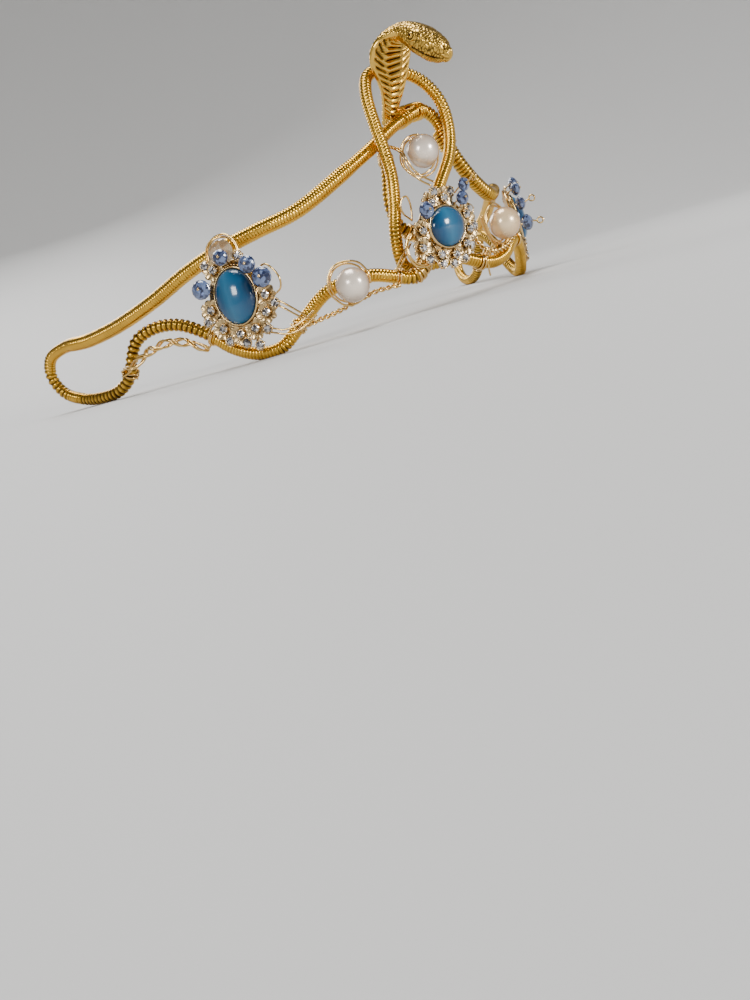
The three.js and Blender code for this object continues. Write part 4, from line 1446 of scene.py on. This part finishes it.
# %% Loose wires
RIGHT_WIRES = [
    [(15, 9.5, 2), (18.6, 9.4, 4), (22, 5.8, 4.5), (23.8, 1, 4.2), (22.6, -3.2, 3.4), (18, -5, 2)],
    [(14, -4.5, 1), (20.6, -9, 2), (25.3, -13.6, 1.5), (30, -18.6, 0.5), (33, -22, -1)],
    [(14, -6.5, 1), (20.2, -11.4, 2), (24.8, -15.8, 1.5), (29, -20, 0.5), (32.2, -23.4, -1)],
    [(8, -17, 1), (13.8, -19.7, 2), (18.2, -21.6, 2), (23.4, -21.6, 1.5), (29, -20, 1),
     (34, -17.4, 0)],
    [(8, -19, 1), (13.8, -21.8, 2), (18.6, -23.8, 2), (23.3, -24.2, 1.5), (29.4, -22.6, 1),
     (35, -19.6, 0)],
    [(-12, -7, 1), (-17, -9.4, 1.3), (-20.4, -12.6, 1.6)],
    [(-10, -8.6, 1), (-14.6, -11, 1.4), (-17.4, -14.2, 1.8)],
]
LEFT_WIRES = [
    [(-12, 12, 1), (-15.5, 9.5, 1.6), (-16.8, 4.5, 1.8), (-16.2, -1, 1.8), (-13.6, -5.4, 1.2)],
    [(-11, 14, 1), (-16.6, 10.4, 2.4), (-18, 4.6, 2.8), (-17.2, -2, 2.4), (-13, -7.6, 1.2)],
]
FREE_WIRES = [
    [(-20.2, -1.6, 41.9), (-24, -1.7, 45.8), (-24.3, -1.8, 49.8), (-22.1, -1.8, 52.5),
     (-19.5, -1.8, 52.8), (-18.6, -1.8, 49.8), (-18.9, -1.8, 45.8), (-20.1, -1.7, 41.5)],
    [(-24.2, -4, 35.2), (-31, -2.6, 28), (-37.3, -1.8, 21.3)],
    [(-26.2, -4, 31.6), (-30.8, -2.8, 26), (-35.2, -2, 21.3)],
    [(-11.6, 12.5, 78.6), (-12, 4, 74), (-12.2, 1.6, 69.4), (-10.6, 1.2, 63.8), (-7.2, 0.6, 59),
     (-3.6, -2, 55)],
    [(-9.6, 12.5, 78.6), (-10.3, 4, 74), (-10.6, 1.6, 69), (-8.6, 1.2, 64.2), (-5, 0.6, 60.2),
     (-1, -2, 56.2)],
    [(24.6, 0.6, 35), (25.4, 1, 29.7), (27.4, 1, 24), (29.6, 0.6, 18.4)],
    [(25.8, 0.8, 35.6), (26.6, 1.2, 29.9), (28.5, 1.2, 24.4), (30.6, 0.8, 19)],
    [(16.2, -5.6, 12.6), (16, -5.2, 9), (16.6, -4.6, 6.4)],
]
loose = Skin()
for one, wires in ((RIGHT, RIGHT_WIRES), (LEFT, LEFT_WIRES)):
    for rows in wires:
        add_wire(loose, [one.seat.point(*row) for row in rows], LOOSE_WIRE, step=1.0)
for rows in FREE_WIRES:
    add_wire(loose, rows, LOOSE_WIRE, step=1.0)
add_strand(loose, [(11, -5.2, 29.5), (13.4, -4.4, 25), (16.8, -3, 21.6), (22, -2, 18)], seed=8)
# Double loops hold the flower that stands away from the front brooch, and the clear disc.
x, y = item_place(FRONT, FRONT.ring[4])
for radius in (7.5, 8.5):
    add_loop(loose, FRONT.seat, x - 0.4, y, 1.6, radius, low=80, high=338, seed=radius)
x, y = item_place(RIGHT, RIGHT.ring[-1])
for radius in (7.5, 8.4):
    add_loop(loose, RIGHT.seat, x, y, 1.8, radius, low=-12, high=205, seed=radius)
loose.make("loose_wires", wire_gold, "pale_gold")


# %% Eye pins
EYE_WIRE, EYE_RADIUS = 0.42, 1.6


def add_eye_pin(skin, brooch, item, lean_x, lean_y):
    """A pin through a bead whose end is turned into a small ring beyond it."""
    x, y, z, half = bead_place(brooch, item)
    seat = brooch.seat
    top = z + half
    pin = [seat.point(x + lean_x * share, y + lean_y * share, top + rise)
           for share, rise in ((0, -1), (0.4, 1.2), (1, 2.6))]
    add_wire(skin, pin, EYE_WIRE, step=0.6)
    rows = []
    for i in range(15):
        turn = math.radians(-90 + 26 * i)
        rows.append(seat.point(x + lean_x + 0.2 * math.cos(turn), y + lean_y
                               + EYE_RADIUS * math.cos(turn),
                               top + 4.2 + EYE_RADIUS * math.sin(turn)))
    add_wire(skin, rows, EYE_WIRE, step=0.5)


eyes = Skin()
for one, number, lean_x, lean_y in ((FRONT, -1, 1.6, 1.8), (LEFT, -2, 0, 0.6),
                                    (LEFT, -1, 0, -1.2)):
    add_eye_pin(eyes, one, one.ring[number], lean_x, lean_y)
eyes.make("eye_pins", wire_gold, "pale_gold")
